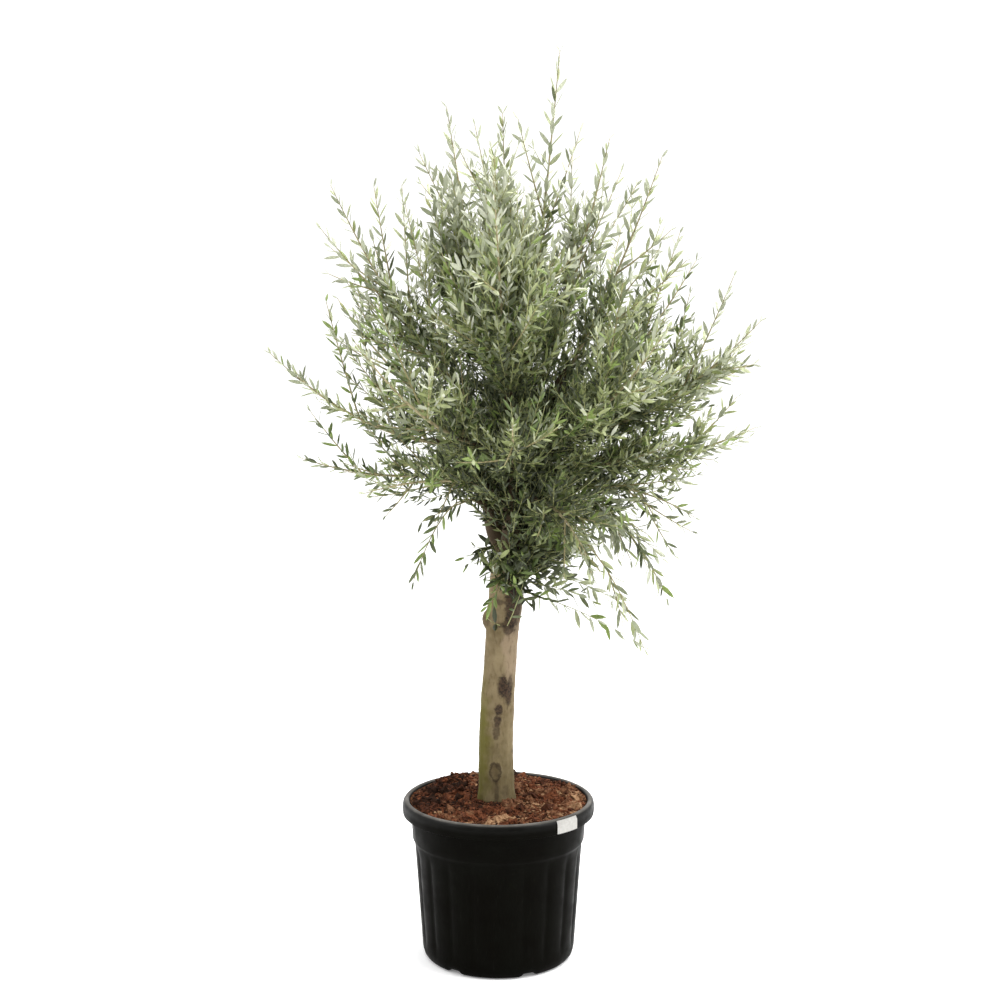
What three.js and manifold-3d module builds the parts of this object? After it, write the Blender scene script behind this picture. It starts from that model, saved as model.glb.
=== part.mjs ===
// A potted olive tree: a black plastic nursery container full of soil, a bare trunk that forks a metre
// above the ground into five boughs, the branches that leave these, and the masses of foliage that
// each bough and branch carries. Millimetres, +Z up, the crown's wide side along X.
// The origin is the middle of the pot's flat underside.

import * as THREE from "three";
import { mergeVertices } from "three/addons/utils/BufferGeometryUtils.js";
import Module from "manifold-3d";

const wasm = await Module();
wasm.setup();

// ---------------------------------------------------------------- driving dimensions

const GAP = 0.3; // between solids that touch on the real plant

const POT = {
  height: 400,
  wall: 3,
  floor: 8,
  rimRadius: 240, // the outside of the rim, which is turned down like a skirt
  rimRidge: 229, // its highest ring
  rimMouth: 222, // and where it goes over into the wall
  rimRound: 12, // how far below the ridge the skirt turns straight
  skirtHeight: 362, // foot of the skirt
  collarRadius: 218, // the plain band under the rim
  collarFoot: 316,
  collarStep: 4, // how much narrower the band is at its foot
  neckRadius: 209, // where the fluted wall ends below the band
  neckHeight: 304,
  footRadius: 191, // where the fluted wall starts above the rounded bottom edge
  footHeight: 34,
  footRound: 15,
  fluteDepth: 4,
  sides: 40, // two to a flute
};

// Channels across the pot's foot, each with a hole through the floor.
const DRAIN = { count: 6, firstTurn: -126, width: 32, depth: 6, inner: 122, holeAt: 150, holeRadius: 7 };

const SOIL = { seatHeight: 395, seatRadius: 62, shoulderHeight: 394, shoulderRadius: 140, edgeHeight: 392 };

// A card stuck to the rim, between two turns from the front towards the right. Above its bend it leans
// inwards with the rim.
const LABEL = {
  from: 36,
  to: 52,
  low: 366,
  bend: 389,
  high: 397.5,
  lean: 4.2,
  thickness: 0.8,
  standOff: 0.6,
  sides: 90, // of the whole ring that it is cut from
};

// The trunk's middle line and radius at heights above the ground. It leans a little to the right.
const TRUNK = {
  stations: [
    { height: SOIL.seatHeight + GAP, x: -5, radius: 50 },
    { height: 425, x: -5, radius: 46.5 },
    { height: 510, x: -6, radius: 44.5 },
    { height: 626, x: -3, radius: 43.5 },
    { height: 718, x: 3, radius: 42 },
    { height: 800, x: 8, radius: 41.5 },
    { height: 850, x: 12, radius: 43 },
    { height: 900, x: 18, radius: 44.5 },
    { height: 970, x: 26, radius: 46.5 },
    { height: 1020, x: 33, radius: 50 },
    { height: 1052, x: 36, radius: 41 },
    { height: 1066, x: 37, radius: 22 },
  ],
  sides: 12,
  rings: 15,
};

// Old pruning knots on the trunk: their turn is from the right hand side, so that 270 faces the
// front, swell is how far each stands out, and spread how wide it is.
const KNOTS = [
  { height: 845, turn: 185, swell: 9, spread: 26 },
  { height: 684, turn: 299, swell: 4, spread: 24 },
  { height: 476, turn: 267, swell: 3, spread: 30 },
];

const FORK = new THREE.Vector3(35, 0, 1030); // where the boughs part
const HEART = new THREE.Vector3(40, 0, 1200); // the point that the foliage spreads from

// How limbs bend between their two ends, as shares.
const LIMB = {
  boughStart: 24, // distance from the fork's middle
  boughSpread: 0.55, // how far a bough leans out as it leaves the fork
  branchFollow: 0.4, // how far a branch goes along with its bough as it leaves it
  pull: 0.36, // how long both ends keep their direction
  stemFoot: 0.28, // where a stem starts between the heart and its tip
};

// The wood's radius from the thick end to the thin one, and how finely it is made.
const BOUGH = { thick: 25, thin: 12, sides: 7, rings: 5 };
const BRANCH = { thick: 12, thin: 7.5, sides: 5, rings: 2 };
const STEM = { thick: 7, thin: 3.5, sides: 3, rings: 3 };
const TWIG = { thick: 4.5, thin: 3.2, sides: 3, rings: 1 };

// The growth rule of one mass of foliage. A stem runs to the mass's furthest tip, twigs leave it at
// even steps round and along it, and sprays stand along all of them.
const GROWTH = {
  twigEvery: 105, // length of stem to a twig
  firstTwig: 0.1, // share of the stem
  lastTwig: 0.72,
  leanLow: 28, // degrees from the stem
  leanHigh: 56,
  shareLow: 0.5, // length of a twig, as a share of the stem's
  shareHigh: 0.85,
  tipLoss: 0.45, // how much shorter the last twigs are
  cuts: 4, // a twig that would leave its space is cut back up to so many times
  shorten: 0.8, // to this share of its length
  tested: [0.45, 0.7, 1], // the places on a twig that have to keep to its space
  wood: 0.82, // share of a stem or twig that is wood, before its last spray
  stepAlong: 0.7548776662, // steps that spread any number of twigs evenly, along the stem
  stepAround: 0.569840291, // and round it
};

// A spray of leaves is one blade. Its shares are of the stem or twig that it grows on.
const SPRAY = {
  length: 150,
  least: 0.75, // the shortest, as a share of that
  width: 48,
  thickness: 5.5,
  step: 118,
  first: 0.12,
  lastRoot: 0.96,
  lean: 42, // degrees from the twig
  rise: 0.3, // how much each turns up to the light
  tries: 5, // turns round the twig that it tries, to keep to its space
};

// How a mass keeps to its own space: how far it stays from another mass's space and from a limb's
// bark, and how finely stems and limbs are read for that.
const SPACE = { masses: 8, limbs: 2.5, stemPieces: 8, limbStep: 6 };

// The round body of the crown. Only what lies within the wand distance of a stem stands out of it.
const CROWN = { centre: new THREE.Vector3(45, 0, 1470), reach: new THREE.Vector3(500, 490, 570), wand: 42 };

// The masses of foliage, by the bough that carries them. The first of each bough sits on the bough's
// own tip, and the others on branches that leave the bough at a share of its length. Each has its
// furthest tip, how far its stem bows (below a straight line, where that is less than 0), and how
// much its twigs lift.
const MASSES = [
  { name: "crown_top", bough: "middle", tip: [147, 10, 2223], bow: -0.03, lift: 0.1 },
  { name: "top_middle", bough: "middle", from: 0.76, tip: [10, -60, 2070], bow: -0.03, lift: 0.12 },
  { name: "top_left", bough: "middle", from: 0.6, tip: [-125, 60, 2098], bow: -0.05, lift: 0.12 },
  { name: "top_right", bough: "middle", from: 0.44, tip: [262, -60, 2010], bow: -0.05, lift: 0.12 },
  { name: "upper_left", bough: "left", tip: [-400, -20, 1905], bow: -0.07, lift: 0.12 },
  { name: "left_shoulder", bough: "left", from: 0.6, tip: [-410, 210, 1640], bow: -0.08, lift: 0.12 },
  { name: "far_left", bough: "left", from: 0.42, tip: [-549, -30, 1506], bow: -0.1, lift: 0.14 },
  { name: "left_low", bough: "left", from: 0.24, tip: [-490, 60, 1245], bow: -0.06, lift: 0.1 },
  { name: "left_hanging", bough: "left", from: 0.12, tip: [-205, -90, 959], bow: 0.34, lift: -0.16 },
  { name: "upper_right", bough: "right", tip: [396, 40, 1978], bow: -0.07, lift: 0.12 },
  { name: "right_shoulder", bough: "right", from: 0.66, tip: [500, 190, 1735], bow: -0.08, lift: 0.12 },
  { name: "far_right", bough: "right", from: 0.48, tip: [633, -10, 1583], bow: -0.09, lift: 0.12 },
  { name: "right_low", bough: "right", from: 0.32, tip: [616, -70, 1330], bow: -0.06, lift: 0.1 },
  { name: "right_skirt", bough: "right", from: 0.2, tip: [495, 110, 1090], bow: 0.1, lift: 0.02 },
  { name: "right_hanging", bough: "right", from: 0.1, tip: [398, -60, 941], bow: 0.26, lift: -0.14 },
  { name: "front_high", bough: "front", tip: [-10, -390, 1900], bow: -0.07, lift: 0.12 },
  { name: "front_right", bough: "front", from: 0.62, tip: [370, -400, 1570], bow: -0.08, lift: 0.12 },
  { name: "front_left", bough: "front", from: 0.5, tip: [-310, -430, 1540], bow: -0.08, lift: 0.12 },
  { name: "front_low", bough: "front", from: 0.36, tip: [30, -520, 1370], bow: -0.02, lift: 0.08 },
  { name: "front_left_low", bough: "front", from: 0.24, tip: [-300, -330, 1200], bow: 0.04, lift: 0.04 },
  { name: "front_right_low", bough: "front", from: 0.16, tip: [200, -340, 1060], bow: 0.1, lift: 0.02 },
  { name: "low_right", bough: "front", from: 0.08, tip: [348, -150, 806], bow: 0.2, lift: -0.12 },
  { name: "back_high", bough: "back", tip: [50, 400, 1930], bow: -0.07, lift: 0.12 },
  { name: "back_left", bough: "back", from: 0.6, tip: [-290, 460, 1530], bow: -0.08, lift: 0.12 },
  { name: "back_right", bough: "back", from: 0.46, tip: [370, 440, 1500], bow: -0.08, lift: 0.12 },
  { name: "back_low", bough: "back", from: 0.34, tip: [40, 540, 1350], bow: 0.02, lift: 0.06 },
  { name: "back_left_low", bough: "back", from: 0.22, tip: [-300, 340, 1190], bow: 0.06, lift: 0.04 },
  { name: "back_right_low", bough: "back", from: 0.12, tip: [330, 350, 1130], bow: 0.08, lift: 0.02 },
];

// ---------------------------------------------------------------- materials

const look = (color, roughness) => new THREE.MeshStandardMaterial({ color, roughness, metalness: 0 });
const BLACK_PLASTIC = look(0x1b1c1d, 0.45);
const BARK_SOIL = look(0x6a4530, 0.95);
const BARK = look(0x97886c, 0.85);
const FOLIAGE = look(0x6f7f4c, 0.6);
const WHITE_CARD = look(0xf2f2f0, 0.7);

// ---------------------------------------------------------------- geometry and solids

const UP = new THREE.Vector3(0, 0, 1);
const point = (x, y, z) => new THREE.Vector3(x, y, z);
const mix = (from, to, share) => from + (to - from) * share;
const turned = (degrees) => THREE.MathUtils.degToRad(degrees);
const fraction = (value) => value - Math.floor(value);

// The closed mesh as a manifold-3d solid, for cutting and joining.
function solidOf(geometry) {
  const bare = geometry.clone();
  bare.deleteAttribute("normal");
  bare.deleteAttribute("uv");
  const merged = mergeVertices(bare);
  return new wasm.Manifold(
    new wasm.Mesh({
      numProp: 3,
      vertProperties: merged.attributes.position.array,
      triVerts: new Uint32Array(merged.index.array),
    }),
  );
}

function geometryOf(solid) {
  const { vertProperties, triVerts } = solid.getMesh();
  const geometry = new THREE.BufferGeometry();
  geometry.setAttribute("position", new THREE.BufferAttribute(vertProperties, 3));
  geometry.setIndex(new THREE.BufferAttribute(triVerts, 1));
  geometry.computeVertexNormals();
  return geometry;
}

// The largest piece of a solid: a cut or a join may leave a loose scrap, which is dropped.
const largestPiece = (solid) => solid.decompose().reduce((a, b) => (b.volume() > a.volume() ? b : a));

function meshOf(name, solid, material) {
  const mesh = new THREE.Mesh(geometryOf(solid), material);
  mesh.name = name;
  return mesh;
}

// Revolves a profile of [radius, height] pairs about the Z axis.
function lathe(profile, sides) {
  const points = profile.map(([radius, height]) => new THREE.Vector2(radius, height));
  return new THREE.LatheGeometry(points, sides).rotateX(Math.PI / 2);
}

// A cylinder bent along a curve. radiusAt(share, middle, out) gives its radius at a share of the
// curve, round the middle there, in the direction out.
function limbAlong(curve, { sides, rings }, radiusAt) {
  const geometry = new THREE.CylinderGeometry(1, 1, 1, sides, rings);
  const { tangents, normals } = curve.computeFrenetFrames(rings, false);
  const position = geometry.attributes.position;
  for (let i = 0; i < position.count; i++) {
    const place = new THREE.Vector3().fromBufferAttribute(position, i);
    const ring = Math.round((place.y + 0.5) * rings);
    const middle = curve.getPointAt(ring / rings);
    const across = new THREE.Vector3().crossVectors(tangents[ring], normals[ring]);
    const out = normals[ring].clone().multiplyScalar(place.z).addScaledVector(across, place.x);
    if (out.length() > 0.5) middle.addScaledVector(out, radiusAt(ring / rings, middle, out));
    position.setXYZ(i, middle.x, middle.y, middle.z);
  }
  return geometry;
}

const taper = ({ thick, thin }, extra = 0) => (share) => mix(thick, thin, share) + extra;

// ---------------------------------------------------------------- pot, soil and label

// The inside of the pot's wall from its floor up, set in by a gap.
function innerWall(inset = 0) {
  const behindFlutes = POT.wall + POT.fluteDepth + inset;
  return [
    [POT.footRadius - POT.footRound - inset, POT.floor + inset],
    [POT.footRadius - behindFlutes, POT.footHeight],
    [POT.neckRadius - behindFlutes, POT.neckHeight],
    [POT.collarRadius - POT.wall - inset, POT.skirtHeight],
  ];
}

// The pot's outside from the middle of its underside to the rim. A third value is the depth of the
// flutes in that ring.
function outerWall() {
  return [
    [0, 0],
    [POT.footRadius - POT.footRound, 0],
    [POT.footRadius - POT.footRound / 4, POT.footRound / 2],
    [POT.footRadius, POT.footHeight, POT.fluteDepth],
    [POT.neckRadius, POT.neckHeight, POT.fluteDepth],
    [POT.collarRadius - POT.collarStep, POT.collarFoot],
    [POT.collarRadius, POT.height - 2 * POT.wall],
  ];
}

// The rim, from under its skirt over the top to the wall's inside.
function rimSection() {
  const { height, wall, rimRadius, rimRidge, rimMouth, rimRound, skirtHeight } = POT;
  return [
    [rimRadius - wall, height - 2 * wall],
    [rimRadius - wall, skirtHeight],
    [rimRadius, skirtHeight],
    [rimRadius, height - rimRound],
    [rimRadius - rimRound / 3, height - rimRound / 4],
    [rimRidge, height],
    [rimMouth, height - wall],
    [POT.collarRadius, height - rimRound],
  ];
}

function potShell() {
  const profile = [...outerWall(), ...rimSection(), ...innerWall().reverse(), [0, POT.floor]];
  const geometry = lathe(profile, POT.sides);
  const position = geometry.attributes.position;
  for (let i = 0; i < position.count; i++) {
    const [radius, , flute] = profile[i % profile.length];
    const side = Math.floor(i / profile.length);
    if (!flute || side % 2) continue;
    const share = 1 - flute / radius;
    position.setXYZ(i, position.getX(i) * share, position.getY(i) * share, position.getZ(i));
  }
  return solidOf(geometry);
}

// A channel across the foot, and the hole through the floor that drains into it.
function drainAt(turn) {
  const length = POT.neckRadius - DRAIN.inner;
  const channel = new THREE.BoxGeometry(length, DRAIN.width, 2 * DRAIN.depth);
  channel.translate(DRAIN.inner + length / 2, 0, 0).rotateZ(turn);
  const hole = new THREE.CylinderGeometry(DRAIN.holeRadius, DRAIN.holeRadius, 3 * POT.floor, 8);
  hole.rotateX(Math.PI / 2).translate(DRAIN.holeAt, 0, POT.floor).rotateZ(turn);
  return solidOf(channel).add(solidOf(hole));
}

function makePot() {
  let pot = potShell();
  for (let i = 0; i < DRAIN.count; i++) {
    pot = pot.subtract(drainAt(turned(DRAIN.firstTurn + (i * 360) / DRAIN.count)));
  }
  return meshOf("pot", pot, BLACK_PLASTIC);
}

// The soil fills the pot to just below its rim, and rises to a flat seat under the trunk.
function makeSoil() {
  const profile = [
    [0, POT.floor + GAP],
    ...innerWall(GAP),
    [POT.collarRadius - 1 - GAP, SOIL.edgeHeight],
    [SOIL.shoulderRadius, SOIL.shoulderHeight],
    [SOIL.seatRadius, SOIL.seatHeight],
    [0, SOIL.seatHeight],
  ];
  return meshOf("soil", solidOf(lathe(profile, POT.sides / 2)), BARK_SOIL);
}

// The slice of a ring of card round the rim.
function makeLabel() {
  const inner = POT.rimRadius + LABEL.standOff;
  const outer = inner + LABEL.thickness;
  const section = [
    [inner, LABEL.low],
    [outer, LABEL.low],
    [outer, LABEL.bend],
    [outer - LABEL.lean, LABEL.high],
    [inner - LABEL.lean, LABEL.high],
    [inner, LABEL.bend],
    [inner, LABEL.low],
  ];
  const corner = (degrees) => {
    const turn = turned(degrees - 90);
    return [2 * outer * Math.cos(turn), 2 * outer * Math.sin(turn)];
  };
  const slice = new THREE.Shape().moveTo(0, 0).lineTo(...corner(LABEL.from)).lineTo(...corner(LABEL.to));
  const block = new THREE.ExtrudeGeometry(slice, { depth: POT.height, bevelEnabled: false });
  const card = solidOf(lathe(section, LABEL.sides)).intersect(solidOf(block));
  return meshOf("rim_label", card, WHITE_CARD);
}

// ---------------------------------------------------------------- trunk, boughs and branches

const trunkLine = new THREE.CatmullRomCurve3(TRUNK.stations.map(({ height, x }) => point(x, 0, height)));

// The trunk's radius at a height, between its stations.
function trunkRadius(height) {
  const { stations } = TRUNK;
  const above = Math.max(1, stations.findIndex((station) => station.height >= height - 1e-6));
  const [low, high] = [stations[above - 1], stations[above]];
  return mix(low.radius, high.radius, (height - low.height) / (high.height - low.height));
}

// How far the knots swell the trunk at a height and a turn about its middle line.
function knotSwell(height, turn) {
  return KNOTS.reduce((sum, knot) => {
    const across = 2 * trunkRadius(knot.height) * Math.sin((turn - turned(knot.turn)) / 2);
    const away = Math.hypot(height - knot.height, across) / knot.spread;
    return sum + knot.swell * Math.exp(-away * away);
  }, 0);
}

// extra makes the trunk thicker, for cutting what meets it.
function trunkSolid(extra = 0) {
  const radiusAt = (share, middle, out) =>
    trunkRadius(middle.z) + knotSwell(middle.z, Math.atan2(out.y, out.x)) + extra;
  return solidOf(limbAlong(trunkLine, TRUNK, radiusAt));
}

// A mass's stem: where it starts, the point that it bends towards, and its furthest tip.
function stemOf(mass) {
  const tip = point(...mass.tip);
  const foot = HEART.clone().lerp(tip, LIMB.stemFoot);
  const bend = foot.clone().lerp(tip, 0.5).addScaledVector(UP, mass.bow * foot.distanceTo(tip) * 2);
  return new THREE.QuadraticBezierCurve3(foot, bend, tip);
}

// A limb that leaves start along one direction and reaches a mass's foot along its stem.
function limbLine(start, leaving, stem) {
  const foot = stem.getPoint(0);
  const arriving = stem.getTangent(0);
  const pull = start.distanceTo(foot) * LIMB.pull;
  return new THREE.CubicBezierCurve3(
    start,
    start.clone().addScaledVector(leaving, pull),
    foot.clone().addScaledVector(arriving, -pull),
    foot.clone(),
  );
}

// The bough that carries a mass on its own tip leaves the fork towards that mass, steeply.
function boughLine(stem) {
  const foot = stem.getPoint(0);
  const outward = foot.sub(FORK).setZ(0).normalize();
  const start = FORK.clone().addScaledVector(outward, LIMB.boughStart);
  return limbLine(start, outward.multiplyScalar(LIMB.boughSpread).add(UP).normalize(), stem);
}

// A branch leaves its bough part of the way along, between the bough's own direction and its foot.
function branchLine(bough, share, stem) {
  const start = bough.getPointAt(share);
  const leaving = stem.getPoint(0).sub(start).normalize();
  leaving.lerp(bough.getTangentAt(share), LIMB.branchFollow).normalize();
  return limbLine(start, leaving, stem);
}

// The limbs of the tree, each bough before the branches that leave it.
function layOutLimbs() {
  const boughs = {};
  return MASSES.map((mass) => {
    const stem = stemOf(mass);
    if (mass.from) {
      const line = branchLine(boughs[mass.bough], mass.from, stem);
      return { name: `branch_${mass.name}`, line, size: BRANCH };
    }
    boughs[mass.bough] = boughLine(stem);
    return { name: `bough_${mass.bough}`, line: boughs[mass.bough], size: BOUGH };
  });
}

const limbSolid = ({ line, size }, extra = 0) => solidOf(limbAlong(line, size, taper(size, extra)));

// Each limb is cut clear of the trunk and of the limbs made before it.
function makeLimbs(limbs) {
  const made = [trunkSolid(GAP)];
  return limbs.map((limb) => {
    const grown = made.reduce((rest, other) => rest.subtract(other), limbSolid(limb));
    made.push(limbSolid(limb, GAP));
    return meshOf(limb.name, largestPiece(grown), BARK);
  });
}

// ---------------------------------------------------------------- foliage

// A small seeded generator of numbers from 0 to 1, so that the tree grows the same each time.
function seeded(seed) {
  let state = seed >>> 0;
  return () => {
    state = (state + 0x6d2b79f5) >>> 0;
    let mixed = Math.imul(state ^ (state >>> 15), state | 1);
    mixed ^= mixed + Math.imul(mixed ^ (mixed >>> 7), mixed | 61);
    return ((mixed ^ (mixed >>> 14)) >>> 0) / 4294967296;
  };
}

// The distance from a point to a line of points.
function distanceTo(line, place) {
  const nearest = new THREE.Vector3();
  let least = Infinity;
  for (let i = 1; i < line.length; i++) {
    new THREE.Line3(line[i - 1], line[i]).closestPointToPoint(place, true, nearest);
    least = Math.min(least, nearest.distanceTo(place));
  }
  return least;
}

// A direction square to another, at a turn about it.
function squareTo(along, turn) {
  const level = new THREE.Vector3().crossVectors(along, UP);
  if (level.length() < 0.05) level.set(1, 0, 0);
  level.normalize();
  const other = new THREE.Vector3().crossVectors(along, level).normalize();
  return level.multiplyScalar(Math.cos(turn)).addScaledVector(other, Math.sin(turn));
}

// The middle points and radii of a limb, close enough together to test what comes near it.
function limbPoints(line, radiusAt) {
  const count = Math.ceil(line.getLength() / SPACE.limbStep);
  return line.getSpacedPoints(count).map((middle, i) => ({ middle, radius: radiusAt(i / count, middle) }));
}

// The test that keeps a mass to its own space: nearer its own stem than any other, inside the crown,
// and off the limbs.
function spaceOf(index, stems, limbs) {
  return (place, halfWidth) => {
    const own = distanceTo(stems[index], place);
    if (stems.some((stem, i) => i !== index && distanceTo(stem, place) < own + SPACE.masses)) return false;
    if (own > CROWN.wand && place.clone().sub(CROWN.centre).divide(CROWN.reach).length() > 1) return false;
    const clear = halfWidth + SPACE.limbs;
    return limbs.every(({ middle, radius }) => middle.distanceTo(place) > radius + clear);
  };
}

// The middle line of a stem's wood, from a share of its line to where its last spray starts.
function woodLine(line, from) {
  const to = GROWTH.wood;
  const bend = line.v0.clone().multiplyScalar((1 - from) * (1 - to));
  bend.addScaledVector(line.v1, from + to - 2 * from * to).addScaledVector(line.v2, from * to);
  return new THREE.QuadraticBezierCurve3(line.getPoint(from), bend, line.getPoint(to));
}

// The same line as the straight pieces that its solid has, so that what grows on it is rooted inside.
function straightPieces(line, { rings }) {
  const joints = line.getSpacedPoints(rings);
  const path = new THREE.CurvePath();
  for (let i = 1; i <= rings; i++) path.add(new THREE.LineCurve3(joints[i - 1], joints[i]));
  return path;
}

// The twigs of a mass: each is cut back until it keeps to its space, or skipped.
function twigsOf(stem, path, mass, random, isFree) {
  const twigs = [];
  for (let i = 0; i * GROWTH.twigEvery < stem.getLength(); i++) {
    const share = mix(GROWTH.firstTwig, GROWTH.lastTwig, fraction(0.5 + i * GROWTH.stepAlong));
    const turn = 2 * Math.PI * fraction(0.5 + i * GROWTH.stepAround);
    const lean = turned(mix(GROWTH.leanLow, GROWTH.leanHigh, random()));
    const full = mix(GROWTH.shareLow, GROWTH.shareHigh, random()) * (1 - GROWTH.tipLoss * share);
    const along = stem.getTangent(share);
    const direction = squareTo(along, turn).multiplyScalar(Math.sin(lean));
    direction.addScaledVector(along, Math.cos(lean)).addScaledVector(UP, mass.lift);
    const root = path.getPoint(share);
    for (let cut = 0; cut <= GROWTH.cuts; cut++) {
      const length = stem.getLength() * full * GROWTH.shorten ** cut;
      const twig = new THREE.LineCurve3(root, root.clone().addScaledVector(direction, length));
      if (!GROWTH.tested.every((part) => isFree(twig.getPoint(part), TWIG.thick))) continue;
      twigs.push(twig);
      break;
    }
  }
  return twigs;
}

function cornersOf({ attributes: { position } }) {
  const corner = (_, i) => new THREE.Vector3().fromBufferAttribute(position, i);
  return Array.from({ length: position.count }, corner);
}

// One spray: an eight-faced blade from its root to its tip, its flat side turned about that line.
function sprayAt(root, tip, turn) {
  const direction = tip.clone().sub(root).normalize();
  const across = squareTo(direction, turn);
  const through = new THREE.Vector3().crossVectors(direction, across);
  const blade = new THREE.OctahedronGeometry(1);
  blade.scale(SPRAY.width / 2, SPRAY.thickness / 2, root.distanceTo(tip) / 2);
  const middle = root.clone().lerp(tip, 0.5);
  return blade.applyMatrix4(new THREE.Matrix4().makeBasis(across, through, direction).setPosition(middle));
}

// A spray that leaves a path at a share of it, at the first turn where it keeps to its space.
function freeSpray(path, share, firstTurn, random, isFree) {
  const root = path.getPoint(share);
  const along = path.getTangent(share);
  const length = SPRAY.length * mix(SPRAY.least, 1, random());
  const roll = Math.PI * random();
  const lean = turned(SPRAY.lean);
  for (let attempt = 0; attempt < SPRAY.tries; attempt++) {
    const side = squareTo(along, firstTurn + 2 * Math.PI * fraction(attempt * GROWTH.stepAround));
    const direction = side.multiplyScalar(Math.sin(lean)).addScaledVector(along, Math.cos(lean));
    direction.addScaledVector(UP, SPRAY.rise).normalize();
    const blade = sprayAt(root, root.clone().addScaledVector(direction, length), roll);
    const corners = cornersOf(blade).filter((corner) => corner.distanceTo(root) > SPRAY.thickness);
    if (corners.every((corner) => isFree(corner, SPRAY.thickness / 2))) return solidOf(blade);
  }
  return null;
}

// The sprays of a stem or twig: one at each step along it, round by even turns, and one at its end.
function spraysOf(path, tip, random, isFree) {
  const count = Math.max(1, Math.round((path.getLength() * (1 - SPRAY.first)) / SPRAY.step));
  const sprays = [solidOf(sprayAt(path.getPoint(SPRAY.lastRoot), tip, Math.PI * random()))];
  for (let i = 0; i < count; i++) {
    const share = mix(SPRAY.first, SPRAY.lastRoot, (i + 0.5) / count);
    const firstTurn = 2 * Math.PI * fraction(i * GROWTH.stepAround + random());
    const spray = freeSpray(path, share, firstTurn, random, isFree);
    if (spray) sprays.push(spray);
  }
  return sprays;
}

// One mass of foliage as one solid: the wood of its stem and twigs, with their sprays sunk into it.
function makeMass(mass, index, stems, limbs) {
  const random = seeded(index + 1);
  const { stem } = mass;
  const isFree = spaceOf(index, stems, limbs);
  const clear = GAP / (2 * stem.v0.distanceTo(stem.v1)); // share of the stem that leaves a gap at its foot
  const stemWood = woodLine(stem, clear);
  const path = straightPieces(stemWood, STEM);
  const twigs = twigsOf(stem, path, mass, random, isFree);
  const solids = [limbSolid({ line: stemWood, size: STEM }), ...spraysOf(path, stem.v2, random, isFree)];
  for (const twig of twigs) {
    const line = new THREE.LineCurve3(twig.v1, twig.getPoint(GROWTH.wood));
    solids.push(limbSolid({ line, size: TWIG }), ...spraysOf(line, twig.v2, random, isFree));
  }
  return meshOf(mass.name, largestPiece(wasm.Manifold.union(solids)), FOLIAGE);
}

// ---------------------------------------------------------------- assembly

const tree = new THREE.Group();
tree.add(makePot(), makeSoil(), makeLabel());
tree.add(meshOf("trunk", trunkSolid(), BARK));

const limbs = layOutLimbs();
tree.add(...makeLimbs(limbs));

const masses = MASSES.map((mass) => ({ ...mass, stem: stemOf(mass) }));
const stems = masses.map(({ stem }) => stem.getSpacedPoints(SPACE.stemPieces));
const allLimbPoints = [
  ...limbPoints(trunkLine, (share, middle) => trunkRadius(middle.z)),
  ...limbs.flatMap(({ line, size }) => limbPoints(line, taper(size))),
];
masses.forEach((mass, index) => tree.add(makeMass(mass, index, stems, allLimbPoints)));

export default tree;
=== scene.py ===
# The finished look of a potted olive tree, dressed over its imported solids. Metres, +Z up, the front
# faces -Y, and the origin is the middle of the pot's flat underside.

import math
from types import SimpleNamespace as Sizes

import bpy
import numpy as np
from mathutils import Matrix, Vector


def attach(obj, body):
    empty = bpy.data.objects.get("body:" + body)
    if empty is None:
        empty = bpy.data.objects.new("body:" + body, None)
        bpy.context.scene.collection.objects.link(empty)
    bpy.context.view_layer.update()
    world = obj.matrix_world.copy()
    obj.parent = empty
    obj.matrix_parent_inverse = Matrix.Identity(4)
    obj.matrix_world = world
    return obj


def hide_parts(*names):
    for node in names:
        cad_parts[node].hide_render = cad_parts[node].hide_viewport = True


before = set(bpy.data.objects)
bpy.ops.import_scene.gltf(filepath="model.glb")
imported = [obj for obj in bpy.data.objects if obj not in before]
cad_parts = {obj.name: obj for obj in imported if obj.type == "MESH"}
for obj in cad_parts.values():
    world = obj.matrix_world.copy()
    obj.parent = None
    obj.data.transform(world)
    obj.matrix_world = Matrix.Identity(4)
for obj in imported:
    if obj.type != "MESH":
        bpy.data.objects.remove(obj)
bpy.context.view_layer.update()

# ---------------------------------------------------------------- driving sizes

CAMERA = Sizes(place=(0.004, -4.0, 1.607), down=6.56, lens=59.15)

# Random draws start from these. The masses' own draws start from their numbers, as in the solids.
SEEDS = Sizes(mulch=20, leaves=7)

# A white studio: how bright it is all round, at the camera's side and overhead as shares of that, what
# the camera sees of it, and a faint glow that keeps shadows on the floor light.
STUDIO = Sizes(
    around=1.02,
    front=0.30,
    front_sets_in=(-0.25, -0.85),  # the part along Y of the directions between which it sets in
    above=1.6,
    above_sets_in=(0.25, 0.90),  # and the part along Z
    backdrop=1.2,
    floor_glow=0.16,
)

# Soft lights: name, place, the place each looks at, how wide it is, and its power in watts.
LIGHTS = [
    ("left", (-3.4, -1.4, 3.2), (0.05, 0, 1.0), 2.0, 45),
    ("right", (3.4, -1.0, 3.4), (0.05, 0, 1.5), 2.2, 125),
    ("top", (0.6, 0.3, 5.2), (0.05, 0, 1.6), 3.0, 250),
]

POT = Sizes(
    sides=240,
    flutes=20,
    flute_depth=0.0035,
    flute_low=0.030,  # where the flutes start to sink into the wall
    flute_high=0.288,
    flute_fade=0.022,  # the height in which they reach their full depth
    drains=6,
    first_drain=-126,  # degrees from the right hand side
    drain_width=0.034,
    drain_depth=0.0065,
    drain_inner=0.121,  # how far from the middle it starts
    notch_edge=0.008,  # how gently a drain's notch starts across
    notch_top=0.0185,  # how high it cuts the wall, and the height in which it fades
    notch_fade=0.012,
    hole_radius=0.007,
    hole_at=0.150,
    floor=0.008,
)

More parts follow.
